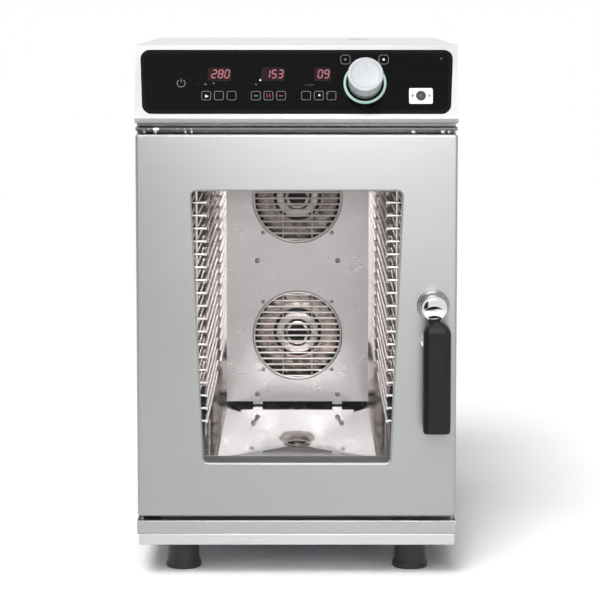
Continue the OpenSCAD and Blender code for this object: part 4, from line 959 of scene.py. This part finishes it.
def add_grip():
    """Black grip: rounded bar with a crowned front, an arched top and a slimmer foot."""
    low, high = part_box("handle_grip")
    x = (low.x + high.x) / 2
    half, front, rear = (high.x - low.x) / 2, low.y, high.y
    arch = 20 * MM
    foot = ((0.0, 0.10), (1.2 * MM, 0.05), (4 * MM, 0.015), (10 * MM, 0.0))
    rows = [(low.z + up, shrink) for up, shrink in foot]
    for angle in (0, 15, 30, 45, 58, 70, 80, 88):
        turn = math.radians(angle)
        rows.append((high.z - arch + arch * math.sin(turn), 1 - math.cos(turn)))
    loops = []
    for z, shrink in rows:
        width = half * (1 - shrink)
        depth_in = (rear - front) * min(shrink, 0.5) * 0.45
        y0, y1 = front + depth_in, rear - depth_in * 0.4
        corner = min(8.5 * MM, width * 0.8, (y1 - y0) * 0.32)
        outline = rounded(rectangle(-width, width, y0, y1), corner, 6)
        loops.append([(x + px, py, z) for px, py in outline])
    Shape().loft(loops).make("handle.grip", "grip", "handle", "black_plastic", ["handle_grip"], 50.0)


def add_grip_rest():
    """Small chrome stop on the door that the grip rests in front of."""
    place = facing_front(211 * MM, DOOR_FACE, 391 * MM)
    radius, rounding = 12 * MM, 2.5 * MM
    profile = [(radius, 0.0), (radius, 12 * MM)]
    profile += arc((radius - rounding, 13 * MM), rounding, 0.0, 90.0, 5)
    profile += [(1 * MM, 15.8 * MM)]
    Shape().lathe(profile, place, 64).make("handle.rest", "chrome", "door", "chrome")


add_rosette()
add_hub()
add_grip()
add_grip_rest()


# ---- Inside of the chamber ----

GUARD_WIRE = 2.5 * MM


def add_baffle_fittings():
    """Feet of the baffle on the chamber's floor, and the screws of baffle and guards."""
    low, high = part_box("fan_baffle")
    front, rear = low.y + 0.2 * MM, low.y + 1.7 * MM
    foot, top = low.z - 5.7 * MM, low.z + 4 * MM
    feet, foot_x, half = Shape(), 74.5 * MM, 9 * MM
    for x in (-foot_x, foot_x):
        feet.block((x - half, front, foot), (x + half, rear, top), 0.4 * MM)
    feet.make("baffle.feet", "baffle", "root", "liner_steel")
    middle = (low.z + high.z) / 2
    screws, baffle_x, guard_off = Shape(), 75 * MM, 64 * MM
    for x in (-baffle_x, baffle_x):
        for z in (low.z + 14 * MM, middle + 12 * MM):
            screws.screw(facing_front(x, low.y, z), 4.5 * MM, 2.2 * MM)
    for joint in ("fan_lower_spin", "fan_upper_spin"):
        fan_z = joints[joint]["pos_m"][2]
        for x in (-guard_off, guard_off):
            for z in (fan_z - guard_off, fan_z + guard_off):
                screws.screw(facing_front(x, low.y, z), 3.6 * MM, 1.8 * MM)
    screws.make("baffle.screws", "screw_grey", "root", "liner_steel")


def add_guards():
    """Wire guards of the two fans: a round rim, close horizontal bars and two uprights."""
    low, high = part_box("fan_guards")
    guards = Shape()
    rim, depth = high.x - GUARD_WIRE, low.y + GUARD_WIRE
    bar, pitch, bars_each_side = 1.9 * MM, 10.9 * MM, 7
    upright, upright_x, behind = 1.25 * MM, 27 * MM, depth + 2.4 * MM
    for joint in ("fan_lower_spin", "fan_upper_spin"):
        fan_z = joints[joint]["pos_m"][2]
        guards.lathe(arc((rim, 0.0), GUARD_WIRE, 0.0, 360.0, 12), facing_front(0.0, depth, fan_z), 72,
                     (False, False))
        for i in range(-bars_each_side, bars_each_side + 1):
            reach, z = math.sqrt(rim ** 2 - (i * pitch) ** 2), fan_z + i * pitch
            guards.rod((-reach, depth, z), (reach, depth, z), bar)
        reach = math.sqrt(rim ** 2 - upright_x ** 2)
        for x in (-upright_x, upright_x):
            guards.rod((x, behind, fan_z - reach), (x, behind, fan_z + reach), upright)
    guards.make("fan.guards", "guard", "root", "liner_steel", ["fan_guards"], 60.0)


def add_wheel(node, joint, body):
    """Fan wheel: back disc with its groove, curved blades, near-black rings of painted shade, and the
    capped hub.
    """
    low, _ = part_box(node)
    place = facing_front(0.0, low.y, joints[joint]["pos_m"][2])
    outer, groove, cap, shaft = 92 * MM, 45.5 * MM, 40 * MM, 6 * MM
    deep = -40 * MM
    step = deep + 3 * MM
    disc = [(outer, deep - 1.5 * MM), (outer, deep), (60 * MM, deep), (52 * MM, step), (groove, step)]
    wheel = Shape().lathe(disc, place, 96, (False, False))
    add_blades(wheel, place, deep)
    wheel.make(f"{body}.wheel", "wheel", body, "stainless", [node], 40.0)

    # Painted shade: the inlet's rim, the groove round the cap and the nut are near-black, where shade
    # falls in the wheel
    inlet = [(76 * MM, -3 * MM), (75 * MM, -1.5 * MM), (76 * MM, -0.3 * MM), (outer, 0.0),
             (outer, -1.5 * MM), (77 * MM, -1.8 * MM)]
    dark = Shape().lathe(inlet, place, 96, (False, False))
    dark.lathe([(groove, step), (groove, deep + 1 * MM), (cap, deep + 1 * MM), (cap, deep + 9 * MM)],
               place, 72, (False, False))
    nut = [(19 * MM, -22 * MM), (19 * MM, -17 * MM), (17 * MM, -15.5 * MM), (9 * MM, -15 * MM)]
    dark.lathe(nut, place, 6)
    dark.make(f"{body}.shadow_ring", "wheel_dark", body, "stainless_dark", (), 40.0)

    dome = [(cap, deep + 9 * MM), (38 * MM, deep + 10.5 * MM), (26 * MM, deep + 11 * MM),
            (22 * MM, -24 * MM), (10 * MM, -22 * MM)]
    hub = Shape().lathe(dome, place, 72, (False, True))
    hub.lathe([(shaft, deep - 68 * MM), (shaft, deep)], place, 24)
    hub.make(f"{body}.hub", "wheel_light", body, "stainless", (), 40.0)


def add_blades(wheel, place, deep):
    """Blades between two radii, each curving forwards by a sweep in degrees."""
    blades, steps, sweep = 18, 6, 26
    inner, length, thick = 58, 33, 1.5 * MM
    for i in range(blades):
        sides = ([], [])
        for k in range(steps + 1):
            share = k / steps
            angle = math.radians(i * 360 / blades + sweep * share)
            side = Vector((-math.sin(angle), math.cos(angle))) * thick / 2
            spot = Vector((math.cos(angle), math.sin(angle))) * (inner + length * share) * MM
            sides[0].append(spot + side)
            sides[1].append(spot - side)
        outline = sides[0] + sides[1][::-1]
        wheel.loft([[place(p.x, p.y, w) for p in outline] for w in (deep, -1.5 * MM)])


add_baffle_fittings()
add_guards()
add_wheel("fan_wheel_upper", "fan_upper_spin", "fan_upper")
add_wheel("fan_wheel_lower", "fan_lower_spin", "fan_lower")


# ---- Stage ----

def seen_or_mirrored(nodes, unseen, seen):
    """A strength for rays that light the object, and another for what camera, mirrors and glass see."""
    path = nodes.add("ShaderNodeLightPath")
    value = path.outputs["Is Camera Ray"]
    for ray in ("Is Glossy Ray", "Is Transmission Ray"):
        value = nodes.math("MAXIMUM", value, path.outputs[ray])
    return nodes.spread(value, unseen, seen)


def stage_material(name, color, lift=0.0):
    """Matt surface that camera, mirror and glass rays see lifted by an even glow."""
    s = Shader(name, color, 0.0, 0.9, specular=0.0, emission=(1.0, 1.0, 1.0, 1.0))
    s.link(seen_or_mirrored(s, 0.0, lift), "emission_strength")
    return s.material


def add_card(name, corners, material):
    """Flat stage piece through four corners."""
    mesh = bpy.data.meshes.new(name)
    mesh.from_pydata(corners, [], [(0, 1, 2, 3)])
    card = bpy.data.objects.new(name, mesh)
    bpy.context.scene.collection.objects.link(card)
    dress(card, material)
    return card


def add_floor():
    """A wide floor, pale to the horizon."""
    reach = 400.0
    add_card("floor", [(-reach, -reach, 0), (reach, -reach, 0), (reach, reach, 0), (-reach, reach, 0)],
             stage_material("floor", (0.99, 0.99, 0.99), 0.003))


def add_flag(name, corners):
    """Dark card behind the camera that takes light off one side of the steel."""
    flag = add_card(name, corners, stage_material(name, (0.02, 0.02, 0.02)))
    flag.visible_camera = False


def add_world():
    """White studio surroundings. What they shed on matt surfaces comes from high up, more from
    the front and the left, and from a wide key light in the front left."""
    world = bpy.data.worlds.new("studio")
    bpy.context.scene.world = world
    world.use_nodes = True
    n = Nodes(world.node_tree)
    towards = n.add("ShaderNodeTexCoord").outputs["Generated"]
    x, y, z = n.add("ShaderNodeSeparateXYZ", {"Vector": towards}).outputs
    up = n.spread(z, 0.0, 1.0)
    dome = n.product(up, up, up, n.spread(z, 0.0, 3.6), n.spread(y, 1.0, 0.15, -0.6, 0.6),
                     n.spread(x, 1.0, 0.45, -0.6, 0.6))
    key = n.product(n.spread(z, 0.0, 1.0, 0.58, 0.66), n.spread(z, 1.0, 0.0, 0.80, 0.88),
                    n.spread(y, 1.0, 0.0, -0.1, 0.0), n.spread(x, 0.0, 1.0, -0.36, -0.28),
                    n.spread(x, 19.5, 0.0, -0.05, 0.05))
    background = n.tree.nodes["Background"].inputs
    background["Color"].default_value = (1.0, 1.0, 1.0, 1.0)
    n.tree.links.new(seen_or_mirrored(n, n.math("ADD", dome, key), 1.0), background["Strength"])


bpy.context.scene.view_settings.view_transform = "Standard"
add_camera()
add_world()
add_floor()
add_flag("flag_left", [(-0.24, -4.9, 0.0), (-3.6, -4.0, 0.0), (-3.6, -4.0, 2.4), (-0.24, -4.9, 2.4)])
add_light("front_top", (0.95, 1.1), (0.08, -3.0, 1.42), (0.02, -0.37, 0.60), 27.0, matt=0.2)
add_light("chamber", (0.34, 0.44), (0.0, -0.312, 0.42), (0.0, 0.3, 0.42), 0.42, (1.0, 0.95, 0.935))
